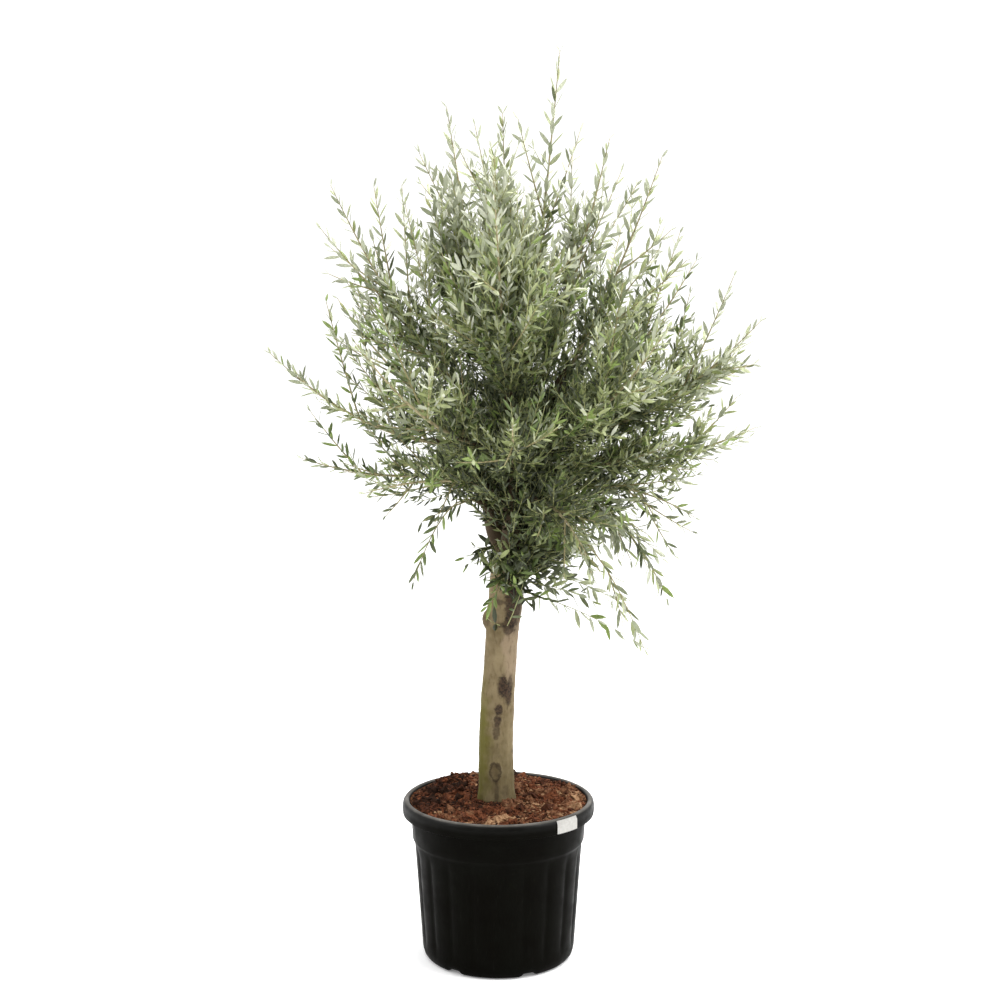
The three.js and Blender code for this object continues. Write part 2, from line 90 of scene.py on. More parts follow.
# The pot's section as radius and height, from the underside up the outside, over the rim and down inside.
POT_UNDERSIDE = [(0.020, 0), (0.119, 0), (0.124, 0), (0.150, 0), (0.170, 0), (0.177, 0.0006)]
POT_CORNER = [(0.1825, 0.0035), (0.1865, 0.009), (0.1893, 0.018), (0.1908, 0.028)]
POT_LEDGE = [(0.2092, 0.289), (0.2105, 0.2945), (0.2132, 0.298), (0.2146, 0.302)]
POT_COLLAR = [(0.2150, 0.312), (0.2188, 0.362)]
POT_SKIRT = [(0.2345, 0.3655), (0.2368, 0.3632), (0.2382, 0.3640), (0.2388, 0.3668), (0.2398, 0.3770)]
POT_ROLL = [(0.2396, 0.3850), (0.2382, 0.3915), (0.2352, 0.3965), (0.2315, 0.3992), (0.2280, 0.4000)]
POT_MOUTH = [(0.2250, 0.3988), (0.2226, 0.3960), (0.2212, 0.3915), (0.2190, 0.3800), (0.2150, 0.3640)]
POT_INSIDE = [(0.2050, 0.290), (0.1850, 0.034), (0.1760, 0.012), (0.1700, 0.008), (0.020, 0.008)]
POT_WALL_RINGS = 17

SOIL = Sizes(
    edge=0.2200,
    edge_height=0.3935,
    shoulder=0.140,
    shoulder_height=0.3945,
    seat=0.062,
    seat_height=0.3985,
    under=0.374,  # the disc's underside
    sides=128,
    rings=34,
    roughness=0.006,
)

# Loose bark on the soil: how many pieces of each size, how far from the trunk to the wall they lie, how
# far they stand out of the soil, and how their tones vary.
MULCH = Sizes(
    clumps=190,
    chips=2900,
    crumbs=3600,
    inner=0.047,
    outer=0.2125,
    at_trunk=0.080,  # within this they lie round the trunk's foot, not round the pot's middle
    proud=(-0.001, 0.0025),
    tone_by_dryness=0.55,
    tone=0.20,
    tone_spread=0.19,
)

# How damp the soil is: in the middle, how that changes across and to the back, and its patches.
DAMP = Sizes(middle=0.5, across=-1.9, back=0.9, patches=0.30)

# A darker heap of soil that shows over the rim at the back left.
HEAP = Sizes(place=(-0.112, 0.165), reach=0.040, height=0.014)

TRUNK = Sizes(
    # height, lean along X, radius
    stations=[
        (0.3953, -0.005, 0.0485),
        (0.425, -0.005, 0.0455),
        (0.510, -0.006, 0.0435),
        (0.626, -0.003, 0.0425),
        (0.718, 0.003, 0.0410),
        (0.800, 0.008, 0.0405),
        (0.850, 0.012, 0.0420),
        (0.900, 0.018, 0.0435),
        (0.970, 0.026, 0.0455),
        (1.020, 0.033, 0.0490),
        (1.052, 0.036, 0.0400),
        (1.066, 0.037, 0.0210),
    ],
    flare_turns=(205, 246, 292, 338, 30, 95, 150),  # degrees from the right hand side
    flare_top=0.500,
    flare_out=0.0385,  # from the trunk's middle line to that of the flare, at the foot
    flare_thick=0.0150,
    voxel=0.0030,
)

# Old pruning knots: height, turn from the right hand side in degrees, how far out of the bark and
# how wide and high each lump is.
KNOTS = [
    Sizes(height=0.850, turn=188, sunk=0.013, width=0.024, tall=0.029),
    Sizes(height=0.832, turn=288, sunk=0.013, width=0.017, tall=0.019),
    Sizes(height=0.742, turn=300, sunk=0.013, width=0.016, tall=0.020),
    Sizes(height=0.684, turn=298, sunk=0.011, width=0.016, tall=0.026),
    Sizes(height=0.674, turn=322, sunk=0.010, width=0.014, tall=0.026),
    Sizes(height=0.905, turn=262, sunk=0.016, width=0.014, tall=0.012),
    Sizes(height=0.600, turn=120, sunk=0.014, width=0.018, tall=0.022),
    Sizes(height=0.780, turn=60, sunk=0.013, width=0.016, tall=0.024),
]

# The oval scar of a lost limb, low on the front.
SCAR = Sizes(height=0.476, turn=267, width=0.013, tall=0.022, lip=0.0045)

FORK = np.array((0.035, 0, 1.030))  # where the boughs part
HEART = np.array((0.040, 0, 1.200))  # the point that the foliage spreads from
UP = np.array((0.0, 0.0, 1.0))

# How limbs bend between their two ends, and how far their wood runs on into the stem and its radius
# there, as shares.
LIMB = Sizes(
    bough_start=0.024,  # in metres from the fork
    bough_spread=0.55,
    branch_follow=0.4,
    pull=0.36,
    stem_foot=0.28,
    runs_on=0.16,
    end_thick=0.9,
)

# The wood's radius from the thick end to the thin one.
BOUGH = Sizes(thick=0.0245, thin=0.0118)
BRANCH = Sizes(thick=0.0118, thin=0.0074)
STEM = Sizes(thick=0.0052, thin=0.0008, sides=6, step=0.030)
TWIG = Sizes(thick=0.0025, thin=0.0008, sides=5, step=0.030)
SHOOT = Sizes(thick=0.0014, thin=0.0006, sides=4, step=0.030)

# The growth rule of a mass of foliage, as the solids have it: twigs leave its stem at even steps
# round and along it.
GROWTH = Sizes(
    every=0.105,
    first=0.1,  # the shares of the stem between which they leave it
    last=0.72,
    lean=(28, 56),  # degrees off the stem
    length=(0.5, 0.85),  # as a share of the stem's
    tip_loss=0.45,  # how much shorter they are at the stem's tip
    cuts=4,  # how often a twig that leaves its space is cut back, and to what share each time
    shorten=0.8,
    tested=(0.45, 0.7, 1.0),
    step_along=0.7548776662,
    step_around=0.569840291,
    bow=0.05,  # how far a twig arches off the straight line
)

# The same rule carried on to finer shoots, by the wood that they leave: how close they stand, the
# shares of it that they leave, how far they lean in degrees, and how long they get.
LIMB_SHOOTS = Sizes(every=0.0042, first=0.06, last=1.0, lean=(24, 84), length=(0.09, 0.32))
STEM_SHOOTS = Sizes(every=0.0050, first=0.0, last=0.72, lean=(14, 50), length=(0.09, 0.30))
TWIG_SHOOTS = Sizes(every=0.0074, first=0.04, last=0.76, lean=(14, 46), length=(0.07, 0.23))
SPROUTING = Sizes(tip_loss=0.50, rise=0.26, bow=0.10)

# The crown's full middle, where every shoot grows. Outside it they soon get few, down to the least share.
CORE = Sizes(
    centre=np.array((0.052, 0, 1.440)),
    reach=np.array((0.345, 0.350, 0.500)),
    full=0.84,
    open=1.24,
    least=0.04,
)

# Masses that stay thin: the share of their twigs and shoots that grow.
SPARSE = {
    "crown_top": 0.24,
    "top_middle": 0.70,
    "top_left": 0.72,
    "top_right": 0.50,
    "upper_left": 0.56,
    "upper_right": 0.72,
    "left_shoulder": 0.48,
    "far_left": 0.48,
    "left_low": 0.34,
    "left_hanging": 0.08,
    "right_hanging": 0.70,
    "low_right": 0.12,
}

# Masses with fuller arms outside the core: the least share of their shoots that grow.
FULL_ARMS = {"far_right": 0.30, "right_low": 0.26, "right_skirt": 0.16, "front_right": 0.14}

# Open air that shoots keep out of: its middle across and up, and how far it reaches both ways.
GAPS = [
    Sizes(centre=np.array((x, 0, z)), reach=np.array((across, 0.60, up)))
    for x, z, across, up in (
        (-0.100, 1.072, 0.060, 0.092),
        (-0.245, 1.765, 0.050, 0.080),
        (-0.168, 1.885, 0.025, 0.025),
        (-0.302, 1.488, 0.055, 0.038),
        (-0.215, 1.518, 0.032, 0.030),
        (-0.361, 1.514, 0.022, 0.020),
        (-0.361, 1.372, 0.025, 0.022),
        (-0.285, 1.174, 0.070, 0.030),
        (-0.069, 1.868, 0.022, 0.030),
        (0.128, 1.955, 0.028, 0.062),
        (0.222, 1.775, 0.020, 0.030),
        (0.271, 1.846, 0.024, 0.024),
        (0.320, 1.657, 0.020, 0.020),
        (0.055, 1.862, 0.020, 0.028),
        (0.330, 1.785, 0.045, 0.060),
        (0.275, 1.752, 0.020, 0.030),
        (0.430, 1.620, 0.040, 0.040),
        (0.525, 1.600, 0.045, 0.100),
        (0.545, 1.335, 0.035, 0.025),
        (0.522, 1.275, 0.035, 0.024),
        (0.417, 1.130, 0.024, 0.022),
        (0.320, 0.885, 0.024, 0.024),
    )
]

# Leaves stand in pairs, each pair crossed to the one before it.
LEAF = Sizes(
    length=0.0470,
    inner=0.58,  # how long those in the shade stay, as a share of that
    hanging=1.02,  # how long those of hanging shoots get, as a share of that
    least=0.78,  # the shortest and the longest, as shares of that
    most=1.08,
    width=0.240,  # as a share of its length
    width_varies=(0.85, 1.15),
    ridge=0.12,  # how far the midrib stands over the flat underside, as a share of the width
    arch=0.10,  # how far the tip bends down, as a share of the length
    arch_varies=(-0.4, 1.6),
    every=0.0215,
    uneven=0.22,  # how far the steps between pairs and their turns vary
    last=0.995,  # the share of a shoot where its last pair stands
    spread_foot=52,  # degrees from the shoot at its foot
    spread_tip=26,
    spread_varies=8,
    roll=46,  # how far they turn about their own length, in degrees
    rise=0.10,  # how far they lift, or hang, as a share of their length
    droop=-0.30,
    facing_up=0.55,
    foot_size=0.75,  # the size of the first and last leaves of a shoot
    tip_size=0.55,
    lost=0.05,  # share of leaves that have dropped
    bare_stem=0.24,  # share of a stem that has lost its leaves
    bare_twig=0.10,
    bare_shoot=0.06,
)

# Light in the crown: where it starts to grow with height and by how much more height it is full, and
# how it grows to the sides, less so to the front and back.
LIGHT = Sizes(low=1.10, rise=0.74, side=0.80, side_power=1.9, depth=0.7)

# The same for hanging shoots: on the trunk's axis, by how much it grows to the right, and its limits.
HANGING_LIGHT = Sizes(middle=0.31, across=1.1, least=0.15, most=0.70)

# The number of a leaf's tone: by its light, with a start, how much shoots and single leaves vary, and
# how much lighter it gets along a shoot.
TONE = Sizes(by_light=5.5, start=0.22, shoots=0.85, leaves=1.1, along=1.7)

# How a mass keeps to its own space.
SPACE = Sizes(masses=0.008, limbs=0.0025, stem_pieces=8, limb_step=0.006)
CROWN = Sizes(centre=np.array((0.045, 0, 1.470)), reach=np.array((0.500, 0.490, 0.570)), wand=0.042)

# The masses of foliage: name, bough, share of the bough where its branch leaves it (0 for the mass
# on the bough's own tip), furthest tip, how far its stem bows, and how much its twigs lift.
MASSES = [
    Sizes(name=name, bough=bough, share=share, tip=np.array(tip), bow=bow, lift=lift)
    for name, bough, share, tip, bow, lift in (
        ("crown_top", "middle", 0, (0.147, 0.010, 2.223), -0.03, 0.10),
        ("top_middle", "middle", 0.76, (0.010, -0.060, 2.070), -0.03, 0.12),
        ("top_left", "middle", 0.60, (-0.125, 0.060, 2.098), -0.05, 0.12),
        ("top_right", "middle", 0.44, (0.262, -0.060, 2.010), -0.05, 0.12),
        ("upper_left", "left", 0, (-0.400, -0.020, 1.905), -0.07, 0.12),
        ("left_shoulder", "left", 0.60, (-0.410, 0.210, 1.640), -0.08, 0.12),
        ("far_left", "left", 0.42, (-0.549, -0.030, 1.506), -0.10, 0.14),
        ("left_low", "left", 0.24, (-0.490, 0.060, 1.245), -0.06, 0.10),
        ("left_hanging", "left", 0.12, (-0.205, -0.090, 0.959), 0.34, -0.16),
        ("upper_right", "right", 0, (0.396, 0.040, 1.978), -0.07, 0.12),
        ("right_shoulder", "right", 0.66, (0.500, 0.190, 1.735), -0.08, 0.12),
        ("far_right", "right", 0.48, (0.633, -0.010, 1.583), -0.09, 0.12),
        ("right_low", "right", 0.32, (0.616, -0.070, 1.330), -0.06, 0.10),
        ("right_skirt", "right", 0.20, (0.495, 0.110, 1.090), 0.10, 0.02),
        ("right_hanging", "right", 0.10, (0.398, -0.060, 0.941), 0.26, -0.14),
        ("front_high", "front", 0, (-0.010, -0.390, 1.900), -0.07, 0.12),
        ("front_right", "front", 0.62, (0.370, -0.400, 1.570), -0.08, 0.12),
        ("front_left", "front", 0.50, (-0.310, -0.430, 1.540), -0.08, 0.12),
        ("front_low", "front", 0.36, (0.030, -0.520, 1.370), -0.02, 0.08),
        ("front_left_low", "front", 0.24, (-0.300, -0.330, 1.200), 0.04, 0.04),
        ("front_right_low", "front", 0.16, (0.200, -0.340, 1.060), 0.10, 0.02),
        ("low_right", "front", 0.08, (0.348, -0.150, 0.806), 0.20, -0.12),
        ("back_high", "back", 0, (0.050, 0.400, 1.930), -0.07, 0.12),
        ("back_left", "back", 0.60, (-0.290, 0.460, 1.530), -0.08, 0.12),
        ("back_right", "back", 0.46, (0.370, 0.440, 1.500), -0.08, 0.12),
        ("back_low", "back", 0.34, (0.040, 0.540, 1.350), 0.02, 0.06),
        ("back_left_low", "back", 0.22, (-0.300, 0.340, 1.190), 0.06, 0.04),
        ("back_right_low", "back", 0.12, (0.330, 0.350, 1.130), 0.08, 0.02),
    )
]

# Further long shoots that stand out of the crown, by mass: the share of its stem where each leaves, and
# its tip.
WANDS = {
    "crown_top": [
        (0.50, 0.047, -0.020, 2.060), (0.42, 0.198, 0.050, 2.040), (0.25, 0.075, 0.150, 1.830),
    ],
    "top_middle": [
        (0.45, -0.055, -0.090, 2.040), (0.30, -0.010, -0.170, 1.960), (0.10, 0.070, -0.080, 1.830),
        (0.30, 0.030, -0.100, 1.920),
    ],
    "top_left": [
        (0.50, -0.190, 0.020, 1.985), (0.32, -0.175, -0.030, 1.880), (0.06, -0.150, -0.050, 1.820),
        (0.14, -0.105, 0.100, 1.850), (0.02, -0.180, 0.040, 1.760), (0.01, -0.090, 0.080, 1.640),
        (0.40, -0.120, 0.020, 1.955), (0.00, -0.085, 0.100, 1.520),
    ],
    "top_right": [
        (0.46, 0.330, -0.020, 1.905), (0.52, 0.292, -0.020, 1.935), (0.01, 0.150, 0.060, 1.660),
        (0.04, 0.180, 0.120, 1.720), (0.40, 0.176, -0.020, 1.975), (0.10, 0.180, -0.050, 1.765),
    ],
    "upper_left": [
        (0.52, -0.300, 0.020, 1.905), (0.46, -0.420, -0.060, 1.800), (0.40, -0.226, -0.090, 1.900),
        (0.40, -0.345, 0.040, 1.700), (0.30, -0.335, -0.060, 1.655), (0.55, -0.312, 0.060, 1.800),
        (0.60, -0.408, 0.040, 1.760), (0.20, -0.360, -0.040, 1.672), (0.35, -0.330, 0.020, 1.760),
    ],
    "far_left": [
        (0.50, -0.410, -0.060, 1.630), (0.10, -0.335, -0.100, 1.370), (0.70, -0.512, 0.040, 1.462),
        (0.30, -0.340, -0.060, 1.600), (0.08, -0.370, -0.040, 1.458), (0.80, -0.500, 0.020, 1.468),
    ],
    "left_shoulder": [
        (0.50, -0.415, 0.120, 1.545), (0.40, -0.345, 0.060, 1.620), (0.45, -0.355, 0.060, 1.645),
    ],
    "far_right": [
        (0.56, 0.560, -0.060, 1.690), (0.52, 0.610, 0.060, 1.470), (0.10, 0.500, -0.120, 1.440),
        (0.05, 0.420, 0.060, 1.400), (0.70, 0.618, 0.000, 1.478), (0.50, 0.582, -0.030, 1.525),
    ],
    "right_shoulder": [
        (0.56, 0.450, 0.120, 1.800),
    ],
    "right_low": [
        (0.60, 0.579, -0.010, 1.400), (0.05, 0.470, -0.130, 1.375), (0.02, 0.420, -0.060, 1.360),
        (0.08, 0.445, 0.060, 1.345), (0.12, 0.405, -0.200, 1.300), (0.05, 0.420, -0.100, 1.310),
    ],
    "left_low": [
        (0.30, -0.340, 0.020, 1.345), (0.12, -0.290, -0.060, 1.365), (0.45, -0.375, -0.020, 1.240),
        (0.60, -0.455, -0.020, 1.365), (0.20, -0.325, -0.030, 1.335), (0.20, -0.372, -0.050, 1.222),
    ],
    "left_hanging": [
        (0.20, -0.185, -0.060, 1.100),
    ],
    "front_left_low": [
        (0.20, -0.150, -0.150, 1.110), (0.05, -0.115, -0.140, 1.185),
    ],
    "upper_right": [
        (0.30, 0.385, -0.030, 1.755),
    ],
    "right_skirt": [
        (0.45, 0.478, 0.020, 1.066), (0.10, 0.480, -0.060, 1.215), (0.55, 0.440, 0.060, 1.000),
    ],
    "front_right_low": [
        (0.30, 0.240, -0.180, 1.000), (0.60, 0.152, -0.250, 0.985), (0.70, 0.225, -0.200, 0.985),
        (0.40, 0.222, -0.120, 1.080),
    ],
    "right_hanging": [
        (0.30, 0.270, 0.040, 1.010), (0.20, 0.225, -0.090, 1.020), (0.70, 0.365, -0.020, 0.985),
        (0.15, 0.322, -0.030, 1.130), (0.50, 0.322, -0.050, 1.005),
    ],
    "front_high": [
        (0.06, -0.130, -0.200, 1.740), (0.30, 0.060, -0.200, 1.830), (0.25, -0.030, -0.190, 1.880),
    ],
    "back_high": [
        (0.02, -0.080, 0.200, 1.640), (0.02, 0.170, 0.200, 1.660), (0.30, 0.080, 0.220, 1.860),
        (0.25, -0.020, 0.200, 1.900),
    ],
    "back_left": [
        (0.02, -0.120, 0.220, 1.500), (0.02, -0.080, 0.150, 1.480),
    ],
    "back_right": [
        (0.02, 0.220, 0.220, 1.520),
    ],
    "low_right": [
        (0.62, 0.300, -0.100, 0.860),
    ],
    "front_left": [
        (0.05, -0.090, -0.120, 1.505),
    ],
}

# Small leafy sprouts on the trunk: height and turn where each leaves the bark, and its tip.
SPROUTS = [
    (0.838, 284, (0.066, -0.130, 0.985)),
    (0.842, 262, (-0.030, -0.085, 0.872)),
    (1.040, 190, (-0.072, -0.070, 1.000)),
    (1.045, 205, (-0.055, -0.100, 1.045)),
    (1.050, 215, (-0.030, -0.100, 0.978)),
    (1.045, 240, (-0.014, -0.115, 1.012)),
    (1.040, 225, (-0.046, -0.120, 1.024)),
    (1.030, 200, (-0.082, -0.050, 1.012)),
    (0.930, 300, (0.345, -0.150, 0.812)),
    (0.950, 310, (0.225, -0.130, 0.918)),
    (0.985, 320, (0.300, -0.090, 0.905)),
]

# Short shoots all round the trunk's head, by the same rule: how many, the heights and turns that they
# leave it at, how far they rise or hang, and how long they get.
HEAD_SHOOTS = Sizes(
    count=90, height=(0.940, 1.062), turn=(246, 395), climb=(-0.4, 1.4), length=(0.06, 0.17)
)
BACK_SHOOTS = Sizes(
    count=26, height=(0.985, 1.055), turn=(35, 150), climb=(-0.2, 0.8), length=(0.07, 0.17)
)

# How sprouts and short shoots leave the trunk.
TRUNK_SHOOT = Sizes(
    sunk=0.004,  # how deep they are set into the bark
    bow=0.12,
    hanging_bow=-0.10,
    short_bow=0.10,
    bare=0.15,  # share of them without leaves
    short_bare=0.10,
    hangs_left_of=0.010,  # short shoots with their tips left of this hang
)

# ---------------------------------------------------------------- numbers and places


def unit(vector):
    return vector / np.linalg.norm(vector, axis=-1, keepdims=True)


def mix(low, high, share):
    return low + (high - low) * share


def fraction(value):
    return value - math.floor(value)


def round_about(turn):
    """The level direction at a turn in degrees."""
    return math.cos(math.radians(turn)), math.sin(math.radians(turn))


def on_trunk(height, turn, out=0.0):
    """A place on the trunk's bark at a height and a turn in degrees, moved out along that turn."""
    heights, leans, radii = np.array(TRUNK.stations).T
    radius = np.interp(height, heights, radii) + out
    x, y = round_about(turn)
    return np.interp(height, heights, leans) + radius * x, radius * y, height


# ---------------------------------------------------------------- hand tools


def clear_selection():
    if bpy.context.object and bpy.context.object.mode != "OBJECT":
        bpy.ops.object.mode_set(mode="OBJECT")
    bpy.ops.object.select_all(action="DESELECT")


def take(piece):
    """Makes a piece the only one selected."""
    clear_selection()
    piece.select_set(True)
    bpy.context.view_layer.objects.active = piece


def named(name):
    """Names the new active piece and its mesh."""
    piece = bpy.context.object
    piece.name = name
    piece.data.name = name
    return piece


def join(pieces, name):
    clear_selection()
    for piece in pieces:
        piece.select_set(True)
    bpy.context.view_layer.objects.active = pieces[0]
    bpy.ops.object.join()
    return named(name)


def apply_modifier(piece, kind, **settings):
    take(piece)
    modifier = piece.modifiers.new(kind.title(), kind)
    for setting, value in settings.items():
        setattr(modifier, setting, value)
    bpy.ops.object.modifier_apply(modifier=modifier.name)


def settle(piece):
    """Puts a piece's place, turn and size into its mesh."""
    take(piece)
    bpy.ops.object.transform_apply(location=True, rotation=True, scale=True)


def places_of(piece):
    places = np.empty(len(piece.data.vertices) * 3)
    piece.data.vertices.foreach_get("co", places)
    return places.reshape(-1, 3)


def weigh(piece, name, weights):
    """A vertex group with a weight for each vertex."""
    group = piece.vertex_groups.new(name=name)
    for index in np.flatnonzero(weights > 0):
        group.add([int(index)], float(weights[index]), "REPLACE")
    return name


def push(piece, name, weights, distance, direction):
    """Moves the vertices of a piece by a distance times their weights."""
    group = weigh(piece, name, weights)
    apply_modifier(
        piece, "DISPLACE", vertex_group=group, strength=distance, mid_level=0, direction=direction
    )
    piece.vertex_groups.clear()


def roughen(piece, size, strength, depth=2):
    """Moves the skin in and out by a soft random pattern of that size."""
    cloud = bpy.data.textures.new(f"{piece.name} relief", "CLOUDS")
    cloud.noise_scale = size
    cloud.noise_depth = depth
    settings = {"texture": cloud, "texture_coords": "LOCAL", "strength": strength, "mid_level": 0.5}
    apply_modifier(piece, "DISPLACE", **settings)


def smooth_shade(piece, angle=None):
    take(piece)
    if angle is None:
        bpy.ops.object.shade_smooth()
    else:
        bpy.ops.object.shade_smooth_by_angle(angle=math.radians(angle))


def finish_piece(piece, slot, materials, *nodes):
    """Gives a piece its materials and hides the solids it stands for; the slot argument is not used."""
    for material in materials:
        piece.data.materials.append(material)
    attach(piece, "root")
    if nodes:
        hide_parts(*nodes)
    return piece


def mesh_piece(name, vertices, faces, tints=None):
    """A new piece from arrays of places and faces, with a material number for each face."""
    mesh = bpy.data.meshes.new(name)
    mesh.from_pydata(vertices, [], faces)
    if tints is not None:
        mesh.polygons.foreach_set("material_index", np.asarray(tints, dtype=np.int32))
    mesh.update()
    piece = bpy.data.objects.new(name, mesh)
    bpy.context.scene.collection.objects.link(piece)
    return piece


def gathered_piece(name, parts):
    """A new piece from several sets of places, faces and material numbers."""
    vertices, faces, tints = zip(*parts)
    starts = np.cumsum([0] + [len(places) for places in vertices[:-1]])
    joined = [corners + start for corners, start in zip(faces, starts)]
    return mesh_piece(name, np.concatenate(vertices), np.concatenate(joined), np.concatenate(tints))


def copied_faces(faces, corners, count):
    """The faces of a number of copies of a shape that has so many corners."""
    offsets = np.arange(count) * corners
    return (faces[None, :, :] + offsets[:, None, None]).reshape(-1, 3)


# ---------------------------------------------------------------- camera, floor and light


def set_camera():
    camera = bpy.data.objects.new("camera", bpy.data.cameras.new("camera"))
    camera.location = CAMERA.place
    camera.rotation_euler = (math.radians(90 - CAMERA.down), 0, 0)
    camera.data.lens = CAMERA.lens
    camera.data.sensor_width = 36
    bpy.context.scene.collection.objects.link(camera)
    bpy.context.scene.camera = camera


def soft_light(name, place, target, size, power):
    light = bpy.data.lights.new(name, "AREA")
    light.shape = "SQUARE"
    light.size = size
    light.energy = power
    lamp = bpy.data.objects.new(name, light)
    lamp.location = place
    lamp.rotation_euler = (Vector(target) - Vector(place)).to_track_quat("-Z", "Y").to_euler()
    lamp.visible_camera = False
    bpy.context.scene.collection.objects.link(lamp)


def white_sky():
    """Light from all round, less from the camera's side and more from above."""
    world = bpy.data.worlds.new("studio")
    world.use_nodes = True
    tree = world.node_tree
    parts = tree.nodes.new("ShaderNodeSeparateXYZ")
    feed(tree, parts.inputs[0], add(tree, "ShaderNodeTexCoord", {}, output="Generated"))
    front = ramp(tree, parts.outputs["Y"], *STUDIO.front_sets_in, 1.0, STUDIO.front)
    above = ramp(tree, parts.outputs["Z"], *STUDIO.above_sets_in, 1.0, STUDIO.above)
    seen = add(tree, "ShaderNodeLightPath", {}, output="Is Camera Ray")
    glow = maths(tree, "MULTIPLY", maths(tree, "MULTIPLY", front, above), STUDIO.around)
    lit = {0: seen, 2: glow, 3: STUDIO.backdrop}
    sky = tree.nodes["Background"].inputs
    sky["Color"].default_value = (1, 1, 1, 1)
    feed(tree, sky["Strength"], add(tree, "ShaderNodeMix", lit))
    return world


def set_studio():
    bpy.context.scene.view_settings.view_transform = "Standard"
    bpy.context.scene.world = white_sky()
    for light in LIGHTS:
        soft_light(*light)
    clear_selection()
    bpy.ops.mesh.primitive_circle_add(vertices=96, radius=30, fill_type="NGON", location=(0, 0, -0.0005))
    floor = named("floor")
    floor.data.materials.append(floor_paint())


# ---------------------------------------------------------------- shader building


def rgb(red, green, blue):
    """A colour with parts from 0 to 255, as a shader takes it."""
    parts = [part / 255 for part in (red, green, blue)]
    return *(part / 12.92 if part <= 0.04045 else ((part + 0.055) / 1.055) ** 2.4 for part in parts), 1


def feed(tree, socket, value):
    """Links a socket to another, or sets it."""
    if isinstance(value, bpy.types.NodeSocket):
        tree.links.new(value, socket)
    else:
        socket.default_value = value


def add(tree, kind, inputs, output=0, **settings):
    """Adds a shader node with its inputs by name or number, and returns the output asked for."""
    node = tree.nodes.new(kind)
    for setting, value in settings.items():
        setattr(node, setting, value)
    for name, value in inputs.items():
        feed(tree, node.inputs[name], value)
    return node.outputs[output]


def blend(tree, share, first, second):
    """A colour between two, by a share."""
    return add(tree, "ShaderNodeMix", {0: share, 6: first, 7: second}, output=2, data_type="RGBA")


def ramp(tree, value, low, high, start=0.0, end=1.0):
    """Turns the range from low to high into one from start to end, and holds it there."""
    spread = {"Value": value, "From Min": low, "From Max": high, "To Min": start, "To Max": end}
    return add(tree, "ShaderNodeMapRange", spread, interpolation_type="SMOOTHSTEP")


def maths(tree, operation, first, second):
    return add(tree, "ShaderNodeMath", {0: first, 1: second}, operation=operation)


def lay(tree, mask, share, colour, over):
    """Lays a second colour over the first through a mask, at a share of its strength."""
    return blend(tree, maths(tree, "MULTIPLY", mask, share), colour, over)


def noise_of(tree, place, scale, detail):
    return add(tree, "ShaderNodeTexNoise", {"Vector": place, "Scale": scale, "Detail": detail})


def vector_maths(tree, operation, first, second):
    return add(tree, "ShaderNodeVectorMath", {0: first, 1: second}, operation=operation)


def new_group(name, inputs, outputs):
    """A shader node group; inputs are name, kind and value, and outputs are name and kind."""
    group = bpy.data.node_groups.new(name, "ShaderNodeTree")
    for label, kind, value in inputs:
        socket = group.interface.new_socket(name=label, in_out="INPUT", socket_type=f"NodeSocket{kind}")
        socket.default_value = value
    for label, kind in outputs:
        group.interface.new_socket(name=label, in_out="OUTPUT", socket_type=f"NodeSocket{kind}")
    entry = group.nodes.new("NodeGroupInput")
    leave = group.nodes.new("NodeGroupOutput")
    return group, entry.outputs, leave.inputs


def mottle_group():
    """Soft blotches between two colours."""
    inputs = [
        ("Vector", "Vector", (0, 0, 0)),
        ("Scale", "Float", 20.0),
        ("Sharpness", "Float", 0.2),
        ("Light", "Color", (1, 1, 1, 1)),
        ("Dark", "Color", (0, 0, 0, 1)),
    ]
    group, given, out = new_group("mottle", inputs, [("Color", "Color"), ("Mask", "Float")])
    noise = noise_of(group, given["Vector"], given["Scale"], 4.0)
    low = maths(group, "SUBTRACT", 0.5, given["Sharpness"])
    high = maths(group, "ADD", 0.5, given["Sharpness"])
    mask = ramp(group, noise, low, high)
    feed(group, out["Color"], blend(group, mask, given["Dark"], given["Light"]))
    feed(group, out["Mask"], mask)
    return group


def patch_group():
    """A ragged patch round a place: 1 inside its reach and 0 outside."""
    inputs = [
        ("Vector", "Vector", (0, 0, 0)),
        ("Place", "Vector", (0, 0, 0)),
        ("Reach", "Vector", (1, 1, 1)),
        ("Raggedness", "Float", 0.5),
        ("Grain", "Float", 60.0),
    ]
    group, given, out = new_group("patch", inputs, [("Mask", "Float"), ("Distance", "Float")])
    offset = vector_maths(group, "SUBTRACT", given["Vector"], given["Place"])
    scaled = vector_maths(group, "DIVIDE", offset, given["Reach"])
    away = add(group, "ShaderNodeVectorMath", {0: scaled}, output="Value", operation="LENGTH")
    noise = noise_of(group, given["Vector"], given["Grain"], 3.0)
    shift = maths(group, "MULTIPLY", maths(group, "SUBTRACT", noise, 0.5), given["Raggedness"])
    ragged = maths(group, "ADD", away, maths(group, "MULTIPLY", shift, 2.0))
    feed(group, out["Mask"], ramp(group, ragged, 1.05, 0.65))
    feed(group, out["Distance"], ragged)
    return group


def grain_group():
    """Fine relief, drawn out along an axis by its stretch."""
    inputs = [
        ("Vector", "Vector", (0, 0, 0)),
        ("Stretch", "Vector", (1, 1, 1)),
        ("Scale", "Float", 100.0),
        ("Strength", "Float", 0.3),
        ("Depth", "Float", 0.001),
    ]
    group, given, out = new_group("grain", inputs, [("Normal", "Vector"), ("Mask", "Float")])
    drawn = vector_maths(group, "MULTIPLY", given["Vector"], given["Stretch"])
    noise = noise_of(group, drawn, given["Scale"], 5.0)
    relief = {"Strength": given["Strength"], "Distance": given["Depth"], "Height": noise}
    feed(group, out["Normal"], add(group, "ShaderNodeBump", relief))
    feed(group, out["Mask"], noise)
    return group


